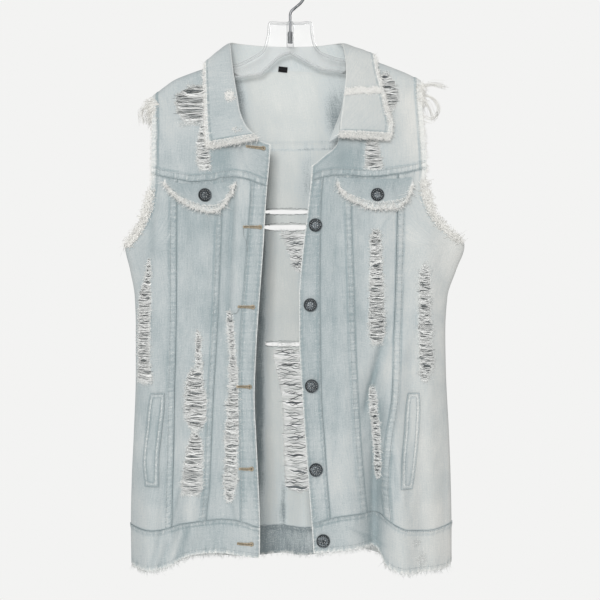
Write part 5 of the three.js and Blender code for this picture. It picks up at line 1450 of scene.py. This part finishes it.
corner = {"foldLow": (33, 588), "foldHigh": (67, 615), "tip": (66, 577), "behind": 4.2, "from": 0.08, "to": 0.92,
          "thickness": 1.4}


def buildTurnedCorner():  # the left front's top corner, turned back along a slanting fold
    share = np.linspace(corner["from"], corner["to"], 20)[:, None]
    run = np.linspace(0, 1, 18)
    low, high, tip = (np.array(corner[key], float) for key in ("foldLow", "foldHigh", "tip"))
    place = low + (high - low) * run[:, None]
    x = place[:, 0] + (tip[0] - place[:, 0]) * share
    height = place[:, 1] + (tip[1] - place[:, 1]) * share
    points = onCloth(-1, x, height, -corner["behind"])
    fields = {"pale": np.full(x.shape, 0.4), "wearAndHighlight": np.full(x.shape, 0.2)}
    makeSheet("left_turned_corner", points, np.array([0, 1.0, 0]), corner["thickness"], fields)


buildTurnedCorner()
print("flaps, welts and corner made")

# Fray: strands out of an edge, thick at the edge and thin at the tip
def strandsFrom(rim, out, normal, count, shortest, longest, chance, droop=0.3, curl=0.5, radius=0.34, where=None):
    run = runAlong(rim)
    place = chance.random(count) if where is None else where(chance.random(count))
    root, away, face = (pickAlong(values, run / run[-1], place) for values in (rim, out, normal))
    away, face = unit(away), unit(face)
    along = np.cross(away, face)
    travel = place * run[-1]
    seed = 10 * chance.random()
    clump, bunch = wave(travel, seed, 4.5), wave(travel, seed + 3, 7)
    length = (shortest + (longest - shortest) * chance.random(count) ** 1.8) * (0.85 + 0.5 * bunch)
    t = np.linspace(0, 1, 5)[None, :, None]
    lean = 0.55 * clump[:, None, None] + chance.normal(0, 0.25, (count, 1, 1))
    tilt = 0.2 + 0.25 * bunch[:, None, None] + chance.normal(0, 0.2, (count, 1, 1))
    bend, twist = chance.normal(0, curl, (count, 1, 1)), chance.normal(0, curl, (count, 1, 1))
    reach = length[:, None, None]
    path = root[:, None] - 1.2 * away[:, None] - 0.4 * face[:, None] + away[:, None] * (reach + 1.2) * t
    path = path + along[:, None] * reach * (lean * t + bend * t * t)
    path = path + face[:, None] * reach * (tilt * t + twist * t * t)
    path[..., 2] -= (droop * reach * t * t)[..., 0]
    return path, radius * (1 - 0.55 * t[..., 0]) * np.ones((count, 1))


def mattedCurls(rim, out, normal, count, shift, chance, where):  # short bent fibres lying over one another
    place = where(chance.random(count)) * (len(rim) - 1)
    spot = np.round(place).astype(int)
    root = rim[spot] + out[spot] * (shift + chance.normal(0, 1.4, (count, 1)))
    t = np.linspace(0, 1, 6)
    turn = chance.uniform(-math.pi, math.pi, (count, 1)) + chance.normal(0, 2.2, (count, 1)) * t
    step = chance.uniform(0.6, 1.8, (count, 1))
    along = np.cross(out[spot], normal[spot])
    path = np.cumsum(step[..., None] * (np.cos(turn)[..., None] * along[:, None] +
                                        np.sin(turn)[..., None] * out[spot][:, None]), axis=1)
    rise = 0.6 + chance.uniform(0, 1.6, (count, 1)) * np.sin(math.pi * t)
    return root[:, None] + path + normal[spot][:, None] * rise[..., None], 0.42


def rimAlong(side, x, height, insideX, insideHeight):  # an edge with the ways out of it and off the cloth
    rim = clothPoint(side, x, height)
    return rim, unit(rim - clothPoint(side, insideX, insideHeight)), clothNormal(side, x, height)


def hemRim(name):
    panel = panels[name]
    t = np.linspace(0.01, 0.99, 240)
    height = np.full(t.shape, 20.0)
    for _ in range(4):
        x = panel["first"](height) + (panel["last"](height) - panel["first"](height)) * t
        height = panel["low"](x)
    return rimAlong(panel["side"], x, height, x, height + 5)


def armholeRim(side, hand, top):
    height = np.linspace(armholeFoot[hand] + 3, top, 240)
    x = sideLine(hand)(height)
    return rimAlong(side, x, height, x - hand * 5, height)


fray = {
    "hem": {"count": 560, "short": 1, "long": 6.5},
    "collar": {"count": 640, "short": 1.2, "long": 4.6},
    "flap": {"count": 460, "short": 1.8, "long": 6.6},
    "armhole": {"count": 420, "short": 1.5, "long": 5, "tails": 70, "tailLong": 13},
}


def frayPiece(name, node, groups, chance, finish="fray"):
    finishPiece(tubePiece(name, groups, finishes[finish], chance), "fray", node)


def hemFray(name, node, chance, where=None):
    rim, out, normal = hemRim(name)
    size = fray["hem"]
    layers = [
        strandsFrom(rim, out, normal, size["count"], size["short"], size["long"], chance, 0.1, 0.4, where=where),
        strandsFrom(rim, out, normal, 24, 4, 8, chance, 0.2, 0.6, radius=0.28, where=where),
    ]
    frayPiece(f"{node}.threads", node, layers, chance, "ends")


# Locks at the shoulders: distance out and height along each, and how many strands
locks = {-1: [
    (((191, 680), (206, 679), (216, 668), (213, 655)), 26),
    (((195, 676), (203, 668), (206, 652)), 20),
    (((193, 682), (203, 688), (213, 684)), 12),
], 1: [
    (((190, 704), (206, 710), (225, 707)), 22),
    (((194, 696), (210, 687), (216, 672), (206, 659), (194, 664)), 16),
    (((192, 690), (202, 678), (208, 661)), 16),
]}


def strayLocks(hand, chance):
    groups = []
    for line, count in locks[hand]:
        line = roundCurve([(hand * out, 0, height) for out, height in line], 15)
        depth = clothPoint(-1, np.array([line[0, 0]]), np.array([line[0, 2]]))[0, 1]
        t = np.linspace(0, 1, len(line))
        spread = 0.5 + 2.2 * t
        shift = chance.normal(0, 1, (count, 1, 3)) * spread[:, None] * np.array([1, 0.7, 1])
        shift = shift + 0.5 * np.sin(9 * t + 6 * chance.random((count, 1)))[..., None] * t[:, None]
        groups.append((line + np.array([0, depth - 0.5, 0]) + shift, 0.34 * (1 - 0.4 * t)))
    return groups


def armholeFray(side, hand, chance):
    node = f"{sides[hand]}_armhole_fray_{'front' if side < 0 else 'back'}"
    top = 686 if hand < 0 else 712
    rim, out, normal = armholeRim(side, hand, top)
    size = fray["armhole"]
    underarm = lambda draw: 0.01 + 0.36 * draw ** 1.3
    shoulder = lambda draw: 0.87 + 0.12 * draw
    layers = [
        strandsFrom(rim, out, normal, size["count"], size["short"], size["long"], chance, 0.25, 0.5),
        strandsFrom(rim, out, normal, size["tails"], 6, size["tailLong"], chance, 0.55, 0.5, where=underarm),
        strandsFrom(rim, out, normal, 90, 4, 11, chance, 0.7, 0.5, where=shoulder),
    ]
    for k in range(3):  # matted curls in rows, from on the cloth outwards
        layers.append(mattedCurls(rim, out, normal, 240, 3.2 * k - 3, chance, underarm))
    layers.append(mattedCurls(rim, out, normal, 160, 1, chance, shoulder))
    if side < 0:
        layers += strayLocks(hand, chance)
    frayPiece(f"{node}.threads", node, layers, chance, "matted")


chance = np.random.default_rng(seeds["fray"])
hemFray("right_hem_band", "right_hem_fray", chance, lambda draw: 0.75 * draw ** 0.9)
hemFray("left_hem_band", "left_hem_fray", chance)
hemFray("back_hem_band", "back_hem_fray", chance)
for hand in sides:
    for side in (-1, 1):
        armholeFray(side, hand, chance)
for hand, label in sides.items():
    points = flapPoints[hand]
    away = unit(points[-1] - points[-4])
    normal = gridNormals(points)[-1]
    normal = normal * np.sign(-normal[:, 1:2])
    size = fray["flap"]
    layers = [strandsFrom(points[row], away, normal, count, size["short"], size["long"], chance, 0.1, 0.9)
              for row, count in ((-1, size["count"]), (-3, 380), (-5, 380), (-7, 300))]
    frayPiece(f"{label}_flap_fray.threads", f"{label}_flap_fray", layers, chance)
    run = slice(0, 82) if hand < 0 else slice(-82, None)
    away, normal = unit(collarPoints[-1, run] - collarPoints[-4, run]), collarNormals[-1, run]
    size = fray["collar"]
    layers = [strandsFrom(collarPoints[row, run], away, normal, count, size["short"], size["long"], chance, 0.05,
                          0.9) for row, count in ((-1, size["count"]), (-3, 460))]
    end, step = (0, 3) if hand < 0 else (-1, -3)
    away = unit(collarPoints[:, end] - collarPoints[:, end + step])
    for k, count in ((0, 700), (1, 620), (2, 520)):
        column = end + k * step
        layers.append(strandsFrom(collarPoints[:, column], away, collarNormals[:, column], count, 2, 6, chance,
                                  0.1, 0.9))
    frayPiece(f"{label}_collar_fray.threads", f"{label}_collar_fray", layers, chance)


# Scuffs on the collar: place along it, level down it, reach along and down, how many
collarScuffs = [(0.165, 0.2, 0.012, 0.13, 340), (0.83, 0.47, 0.01, 0.5, 1400), (0.05, 0.25, 0.01, 0.1, 50),
                (0.9, 0.96, 0.05, 0.05, 200)]


def onCollar(run, level, out):
    i = np.clip(run * (collarPoints.shape[1] - 1), 0, collarPoints.shape[1] - 1.001)
    j = np.clip(level * collar["rows"], 0, collar["rows"] - 0.001)
    low, left = j.astype(int), i.astype(int)
    up, along = (j - low)[..., None], (i - left)[..., None]
    near = collarPoints[low, left] * (1 - along) + collarPoints[low, left + 1] * along
    far = collarPoints[low + 1, left] * (1 - along) + collarPoints[low + 1, left + 1] * along
    return near * (1 - up) + far * up + collarNormals[low, left] * out[..., None]


def scuffCollar(chance):
    groups = []
    t = np.linspace(0, 1, 5)
    for run, level, reach, tall, count in collarScuffs:
        turn = chance.uniform(-3.2, 3.2, (count, 1)) + chance.normal(0, 1.2, (count, 1)) * t
        length = (1 + 2.2 * chance.random((count, 1)) ** 1.4) / 4
        along = np.cumsum(length * np.cos(turn), axis=1) / 470
        down = np.cumsum(length * np.sin(turn), axis=1) / 46
        at = chance.uniform(-0.9, 0.9, (count, 2, 1))
        at[:, 0] = at[:, 0] + 0.4 * wave(at[:, 1], 7, 0.9)
        out = 0.3 + 1.9 * chance.random((count, 1)) * np.sin(2.6 * t)
        path = onCollar(run + reach * at[:, 0] + along, level + tall * at[:, 1] + down, out)
        groups.append((path, 0.38 * (1 - 0.5 * t) * np.ones((count, 1))))
    finishPiece(tubePiece("collar.scuffs", groups, finishes["fray"], chance), "fray")


scuffCollar(chance)
print("edges frayed")

# Stitch rows on the collar, flaps and welts
def rowStitches(points, normals, chance, length=2.6, gap=0.9, radius=0.3):  # dashes along a line of points
    run = runAlong(points)
    starts = np.arange(0.5, run[-1] - length, length + gap)
    starts = starts + chance.uniform(-0.15, 0.15, len(starts))
    places = starts[:, None] + np.linspace(0, length, 4)
    rise = np.array([-0.25, 0.3, 0.3, -0.25])[:, None]
    return pickAlong(points, run, places) + pickAlong(normals, run, places) * rise, radius


def trimStitches():
    chance = np.random.default_rng(seeds["trim"])
    groups = []

    def addRow(x, height, out):
        groups.append(rowStitches(onCloth(-1, x, height, out), clothNormal(-1, x, height), chance))

    for row in (29, 30.2):
        low, part = int(row), row - int(row)
        line = collarPoints[low] * (1 - part) + collarPoints[low + 1] * part
        groups.append(rowStitches(line, collarNormals[low], chance))
    for column in (7, -8):
        groups.append(rowStitches(collarPoints[2:30, column], collarNormals[2:30, column], chance))
    for hand, table in flapTables.items():
        edges = curvesOf(table)
        out = np.linspace(table["out"][0] + 5, table["out"][-1] - 5, 120)
        low, top = edges["low"](out), edges["top"](out)
        height = np.minimum(low + 6.5, top - 1)
        share = (height - low) / (top - low)
        lift = flap["seat"] + flap["thickness"] + flap["lift"] * (1 - share) ** 1.5 + 0.15
        addRow(hand * out, height, lift)
    for hand, table in weltTables.items():
        edges = curvesOf(table)
        for inset in (1.6, 5.2):
            height = np.linspace(table["height"][0] + inset, table["height"][-1] - inset, 160)
            for edge, way in (("inner", 1), ("outer", -1)):
                addRow(hand * (edges[edge](height) + way * inset), height, welt["seat"] + welt["thickness"] + 0.05)
            for end in (height[0], height[-1]):
                out = np.linspace(edges["inner"](end) + inset, edges["outer"](end) - inset, 20)
                addRow(hand * out, end + 0 * out, welt["seat"] + welt["thickness"] + 0.05)
    finishPiece(tubePiece("trim.stitches", groups, finishes["stitch"], chance), "denim")


trimStitches()

# Keyhole buttonholes along the right front edge: inner end, outer end and height, with loose thread ends
buttonhole = {
    "places": [(-62.5, -36, 617.5, 614), (-66, -40.5, 500.6, 500.2), (-73, -50.5, 386.3, 385.8),
               (-74.5, -54.8, 273, 272.6), (-70.5, -52, 157, 157), (-73, -52, 51.6, 51.2)],
    "slitHalf": 0.5, "satin": 1.7, "eye": 2.4, "step": 0.62, "thread": 0.33, "rise": 1.3,
    "loose": [((-66.8, 500), (-66, 489), (-63, 481), (-61, 467)), ((-71.5, 385), (-75, 378), (-81, 376), (-83, 369))],
}


def buttonholes():
    chance = np.random.default_rng(seeds["buttonholes"])
    satin, dark, loose = [], [], []
    size = buttonhole
    for firstX, lastX, firstHeight, lastHeight in size["places"]:
        span = lastX - firstX
        slope = (lastHeight - firstHeight) / span
        alongs = np.arange(0, span - size["eye"], size["step"])
        local = []
        for way in (-1, 1):
            for at in alongs:
                reach = size["satin"] + 0.6 * at / span + chance.uniform(-0.2, 0.2)
                local.append([(at, way * size["slitHalf"]), (at, way * 0.6 * reach), (at, way * reach)])
        for angle in np.arange(-2.3, 2.31, 0.3):
            centre = span - size["eye"]
            local.append([(centre + r * math.cos(angle), r * math.sin(angle)) for r in (size["eye"] - 0.9, 2.4, 3.3)])
        for at in np.arange(-0.9, 0.6, size["step"]):
            local.append([(at, -size["satin"]), (at, 0), (at, size["satin"])])
        local = np.array(local)
        x = firstX + local[..., 0]
        height = firstHeight + slope * local[..., 0] + local[..., 1]
        out = size["rise"] + np.array([0, 0.5, -0.5])
        satin.append((onCloth(-1, x, height, out), size["thread"]))
        # dark strands in the slit and the eye: painted shade in the opening
        slit = np.linspace(0, span - size["eye"], 12)
        dark.append((onCloth(-1, firstX + slit, firstHeight + slope * slit, size["rise"] - 0.35)[None],
                     np.linspace(0.25, 0.6, 12)))
        eyeAt = span - size["eye"] + np.linspace(-1, 1, 5)
        dark.append((onCloth(-1, firstX + eyeAt, firstHeight + slope * eyeAt, size["rise"] - 0.6)[None],
                     np.array([0.5, 1.1, 1.3, 1.1, 0.5])))
    for line in size["loose"]:
        line = roundCurve([(x, 0, height) for x, height in line], 24)
        lift = size["rise"] + 0.8 + 1.2 * np.sin(np.linspace(0, 3, 25))
        loose.append((onCloth(-1, line[:, 0], line[:, 2], lift)[None], 0.42))
    named = (("satin", satin, "buttonhole"), ("slit", dark, "darkHole"), ("loose", loose, "stitch"))
    for name, groups, finish in named:
        finishPiece(tubePiece(f"buttonhole.{name}", groups, finishes[finish], chance, 5), "denim")


buttonholes()
print("buttonholes made")


# Buttons: a turned disc with a rim, a ring of small dots and a plain six-leaf rosette
def selectTop(piece):  # in edit mode, the flat face furthest along z
    mesh = bmesh.from_edit_mesh(piece.data)
    top = max(face.calc_center_median().z for face in mesh.faces)
    for face in mesh.faces:
        face.select = face.calc_center_median().z > top - 1e-6 and face.normal.z > 0.9
    mesh.select_flush_mode()
    bmesh.update_edit_mesh(piece.data)


def startPrimitive(add, **values):
    bpy.ops.object.select_all(action="DESELECT")
    add(**values)
    return bpy.context.view_layer.objects.active


button = {"radius": 9.6, "depth": 2.9, "middle": -0.55, "dots": 16, "dotRing": 6.9, "dot": 0.85,
          "leaves": 6, "leafRing": 3.2,
          "steps": [(1.3, -0.7), (0.3, 0), (4.2, 0.35), (1.4, 0.25), (1.2, 0.1)]}  # inset and rise from the rim in


def modelButton():
    disc = startPrimitive(bpy.ops.mesh.primitive_cylinder_add, vertices=56, radius=button["radius"] * mm,
                          depth=button["depth"] * mm, location=(0, 0, button["middle"] * mm))
    bpy.ops.object.transform_apply(location=True)
    bpy.ops.object.mode_set(mode="EDIT")
    bpy.ops.mesh.select_mode(type="FACE")
    selectTop(disc)
    for inset, rise in button["steps"]:
        bpy.ops.mesh.inset(thickness=inset * mm)
        bpy.ops.transform.translate(value=(0, 0, rise * mm))
    bpy.ops.object.mode_set(mode="OBJECT")
    roundEdges(disc, 0.3, 2, 28)
    disc.data.materials.append(finishes["pewter"])
    parts = [disc]
    for k in range(button["dots"] + button["leaves"]):
        leaf = k >= button["dots"]
        angle = 2 * math.pi * k / (button["leaves"] if leaf else button["dots"])
        ring = (button["leafRing"] if leaf else button["dotRing"]) * mm
        place = (ring * math.cos(angle), ring * math.sin(angle), (1.15 if leaf else 0.55) * mm)
        size = (1.7, 0.75, 0.5) if leaf else (button["dot"], button["dot"], button["dot"] * 0.8)
        bead = startPrimitive(bpy.ops.mesh.primitive_uv_sphere_add, segments=8, ring_count=6, radius=mm,
                              location=place, rotation=(0, 0, angle), scale=size)
        bead.data.materials.append(finishes["rubbed"])
        parts.append(bead)
    joinPieces(parts)
    shadeSmooth(40)
    return disc


def boxCentre(node):
    low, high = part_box(node)
    return (Vector(low) + Vector(high)) / 2


def placeButtons():
    model = modelButton()
    nodes = [f"placket_button_{k}" for k in (1, 2, 3, 4, 5)]
    nodes += ["hem_band_button", "right_flap_button", "left_flap_button"]
    for k, node in enumerate(nodes):
        centre = boxCentre(node)
        x, height = centre.x / mm, centre.z / mm + hangHeight
        facing = Vector(clothNormal(-1, np.array([x]), np.array([height]))[0])
        if node == "placket_button_1":
            facing = -facing
        turn = facing.to_track_quat("Z", "Y").to_matrix().to_4x4() @ Matrix.Rotation(0.7 * k, 4, "Z")
        mesh = model.data.copy()
        mesh.transform(Matrix.Translation(centre) @ turn)
        piece = bpy.data.objects.new(f"{node}.metal", mesh)
        bpy.context.scene.collection.objects.link(piece)
        finishPiece(piece, "pewter", node)
    bpy.data.objects.remove(model)


placeButtons()
print("buttons made")


# The small woven label at the back of the neck
def makeLabel():
    low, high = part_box("neck_label")
    size = Vector(high) - Vector(low)
    piece = startPrimitive(bpy.ops.mesh.primitive_cube_add, size=1, location=boxCentre("neck_label"),
                           rotation=(0, math.radians(6), 0), scale=(size.x * 0.96, size.y * 0.9, size.z * 0.82))
    bpy.ops.object.transform_apply(location=True, rotation=True, scale=True)
    bpy.ops.object.mode_set(mode="EDIT")
    bpy.ops.mesh.select_all(action="SELECT")
    bpy.ops.mesh.subdivide(number_cuts=4)
    bpy.ops.object.mode_set(mode="OBJECT")
    roundEdges(piece, 0.25, 2)
    shadeSmooth(40)
    piece.name = "neck_label.woven"
    onlyMaterial(piece, "label")
    finishPiece(piece, "label", "neck_label")


makeLabel()

# The hanger: moulded clear plastic with rounded rims, a metal ferrule and a wire hook
hook = {"wire": 2.0, "foot": 772, "bendAt": 813, "bend": 10, "lean": 50, "loop": 21, "opening": -15, "turn": 205}


hangerTable = {  # distance out, top line, bottom line
    -1: [(0, 803, 756), (15, 803, 750), (31, 803, 735.5), (34, 785, 733), (38, 769, 729), (41, 762, 726),
         (59, 750, 722), (78, 741.5, 719), (97, 738.2, 716), (125, 730.6, 711), (147, 723.2, 705), (169, 714.2, 697),
         (182, 704.5, 690), (189, 698, 688)],
    1: [(0, 803, 756), (14, 803, 748), (31, 803, 738.5), (34, 785, 737), (38, 769, 735), (44, 760.5, 732.5),
        (65, 752, 729), (79, 749, 726.5), (97, 747.2, 725), (121, 742.2, 721), (139, 736.2, 716.5),
        (153, 730.6, 711.5), (168, 724.6, 706), (179, 718.8, 705)],
}
hanger = {"rim": 2.2, "rimDepth": 3.9, "web": 1.1, "boss": 5.5, "bossFoot": 766, "top": 803}


def hangerOutline(inset):  # once round, clockwise from the middle of the bottom line
    lines = {}
    for hand, rows in hangerTable.items():
        out, top, bottom = (np.array([row[k] for row in rows], float) for k in range(3))
        for key, line in (("top", top), ("bottom", bottom)):
            lines[hand, key] = roundCurve(np.stack([hand * out, 0 * out, line], axis=1), 90)
    ring = np.concatenate([lines[-1, "bottom"], lines[-1, "top"][::-1], lines[1, "top"][1:],
                           lines[1, "bottom"][::-1]])
    ring = ring[np.concatenate([[True], np.linalg.norm(np.diff(ring, axis=0), axis=1) > 0.3])]
    along = np.roll(ring, -2, axis=0) - np.roll(ring, 2, axis=0)
    inwards = unit(np.stack([along[:, 2], 0 * along[:, 0], -along[:, 0]], axis=1))
    return toFrame(ring + inset * inwards)


def curvePiece(name, points, flat):
    curve = bpy.data.curves.new(name, "CURVE")
    curve.dimensions = "2D" if flat else "3D"
    spline = curve.splines.new("POLY")
    spline.points.add(len(points) - 1)
    for point, (x, y, z) in zip(spline.points, points):
        point.co = (x, z, 0, 1)
    spline.use_cyclic_u = True
    if flat:
        curve.fill_mode = "BOTH"
        curve.extrude = hanger["web"] * mm
    else:
        curve.bevel_depth = hanger["rim"] * mm
        curve.bevel_resolution = 3
    piece = bpy.data.objects.new(name, curve)
    bpy.context.scene.collection.objects.link(piece)
    onlySelect(piece)
    bpy.ops.object.convert(target="MESH")
    piece = bpy.context.view_layer.objects.active
    deep = 1 if flat else hanger["rimDepth"] / hanger["rim"]
    piece.data.transform(Matrix.Rotation(math.pi / 2, 4, "X") @ Matrix.Diagonal((1, 1, deep, 1)))
    return piece


def makeHanger():
    rim = curvePiece("hanger_body.plastic", hangerOutline(hanger["rim"]), False)
    web = curvePiece("web", hangerOutline(hanger["rim"]), True)
    tall = hanger["top"] - hanger["bossFoot"]
    boss = startPrimitive(bpy.ops.mesh.primitive_cylinder_add, vertices=40, radius=hanger["boss"] * mm,
                          depth=tall * mm, location=(0, 0, (hanger["bossFoot"] + tall / 2 - hangHeight) * mm))
    bpy.ops.object.transform_apply(location=True)
    roundEdges(boss, 1.2, 3)
    joinPieces([rim, web, boss])
    closeMesh(0.005)
    onlyMaterial(rim, "plastic")
    finishPiece(rim, "clear_plastic", "hanger_body")


def makeHook():
    lean, start = math.radians(hook["lean"]), math.radians(-hook["opening"])
    wire = startPrimitive(bpy.ops.mesh.primitive_circle_add, vertices=16, radius=hook["wire"] * mm,
                          fill_type="NGON", location=(0, 0, (hook["foot"] - hangHeight) * mm))
    bpy.ops.object.transform_apply(location=True)
    bpy.ops.object.mode_set(mode="EDIT")
    bpy.ops.mesh.select_mode(type="FACE")
    bpy.ops.mesh.select_all(action="SELECT")
    rise = (hook["bendAt"] - hook["foot"]) * mm
    bpy.ops.mesh.extrude_region_move(TRANSFORM_OT_translate={"value": (0, 0, rise)})
    bendAt = (hook["bendAt"] - hangHeight) * mm
    bpy.ops.mesh.spin(steps=10, angle=-lean, center=(hook["bend"] * mm, 0, bendAt), axis=(0, 1, 0))
    endX = hook["bend"] * (1 - math.cos(lean))
    endZ = hook["bendAt"] + hook["bend"] * math.sin(lean)
    straight = (hook["loop"] * math.cos(lean) - endX) / math.sin(lean)
    bpy.ops.mesh.extrude_region_move(TRANSFORM_OT_translate={
        "value": (straight * math.sin(lean) * mm, 0, straight * math.cos(lean) * mm)})
    nextX, nextZ = endX + straight * math.sin(lean), endZ + straight * math.cos(lean)
    pivotX, pivotZ = nextX - hook["loop"] * math.cos(lean), nextZ + hook["loop"] * math.sin(lean)
    sweep = lean - start + math.radians(hook["turn"])
    bpy.ops.mesh.spin(steps=56, angle=sweep, center=(pivotX * mm, 0, (pivotZ - hangHeight) * mm), axis=(0, 1, 0))
    closeMesh(0.01)
    wire.name = "hanger_hook.wire"
    onlyMaterial(wire, "steel")
    finishPiece(wire, "wire", "hanger_hook")


makeHanger()
makeHook()
bpy.data.objects["hook_ferrule"].data.materials[0] = finishes["steel"]
print("hanger made")

# Camera, light and floor
studio = {
    "backdrop": linear(243, 243, 242),
    "fill": 0.5,
    "keyPower": 75,
    "keyPlace": (-0.4, -3.2, 0.3),
    "keySize": 1.1,
    "backPower": 42,
    "backPlace": (0.7, 2.8, 0.7),
    "backSize": 1.5,
    "aim": (0, 0, -0.45),
    "floorHeight": -1.35,
    "floorRadius": 1.3,
    "floorDepth": 0.02,
}
view = {"place": (0.0143, -1.5, -0.468), "pixels": 600, "scale": 1.43, "away": 1.465}  # scale in mm per photo pixel


def lightStudio():
    world = bpy.data.worlds.new("studio")
    bpy.context.scene.world = world
    world.use_nodes = True
    nodes, links = world.node_tree.nodes, world.node_tree.links
    seen, lit = nodes["Background"], nodes.new("ShaderNodeBackground")
    seen.inputs["Color"].default_value = studio["backdrop"]
    seen.inputs["Strength"].default_value = 1
    lit.inputs["Color"].default_value = (1, 1, 1, 1)
    lit.inputs["Strength"].default_value = studio["fill"]
    rays, either = nodes.new("ShaderNodeLightPath"), nodes.new("ShaderNodeMixShader")
    links.new(rays.outputs["Is Camera Ray"], either.inputs[0])
    links.new(lit.outputs[0], either.inputs[1])
    links.new(seen.outputs[0], either.inputs[2])
    links.new(either.outputs[0], nodes["World Output"].inputs[0])
    for name in ("key", "back"):
        light = bpy.data.lights.new(name, "AREA")
        light.energy = studio[name + "Power"]
        light.size = studio[name + "Size"]
        lamp = bpy.data.objects.new(name, light)
        lamp.location = studio[name + "Place"]
        lamp.rotation_euler = (Vector(studio["aim"]) - lamp.location).to_track_quat("-Z", "Y").to_euler()
        lamp.visible_camera = False
        bpy.context.scene.collection.objects.link(lamp)
    bpy.context.scene.view_settings.view_transform = "Standard"


def layFloor():
    floor = startPrimitive(bpy.ops.mesh.primitive_cylinder_add, vertices=96, radius=studio["floorRadius"],
                           depth=studio["floorDepth"],
                           location=(0, 0, studio["floorHeight"] - studio["floorDepth"] / 2))
    floor.name = "floor"
    board = Board("paleFloor")
    speck = board.noise(board.place(), 6, 2)
    board.join(board.ramp(speck, (0.3, linear(226, 226, 225)), (0.7, linear(232, 232, 231))),
               board.shader.inputs["Base Color"])
    board.put({"Roughness": 0.95})
    floor.data.materials.append(board.material)


def placeCamera():
    camera = bpy.data.objects.new("camera", bpy.data.cameras.new("camera"))
    bpy.context.scene.collection.objects.link(camera)
    camera.location = view["place"]
    camera.rotation_euler = (math.pi / 2, 0, 0)
    camera.data.sensor_width = 36
    camera.data.angle = 2 * math.atan(0.5 * view["pixels"] * view["scale"] * mm / view["away"])
    bpy.context.scene.camera = camera


lightStudio()
layFloor()
placeCamera()
print("studio ready")
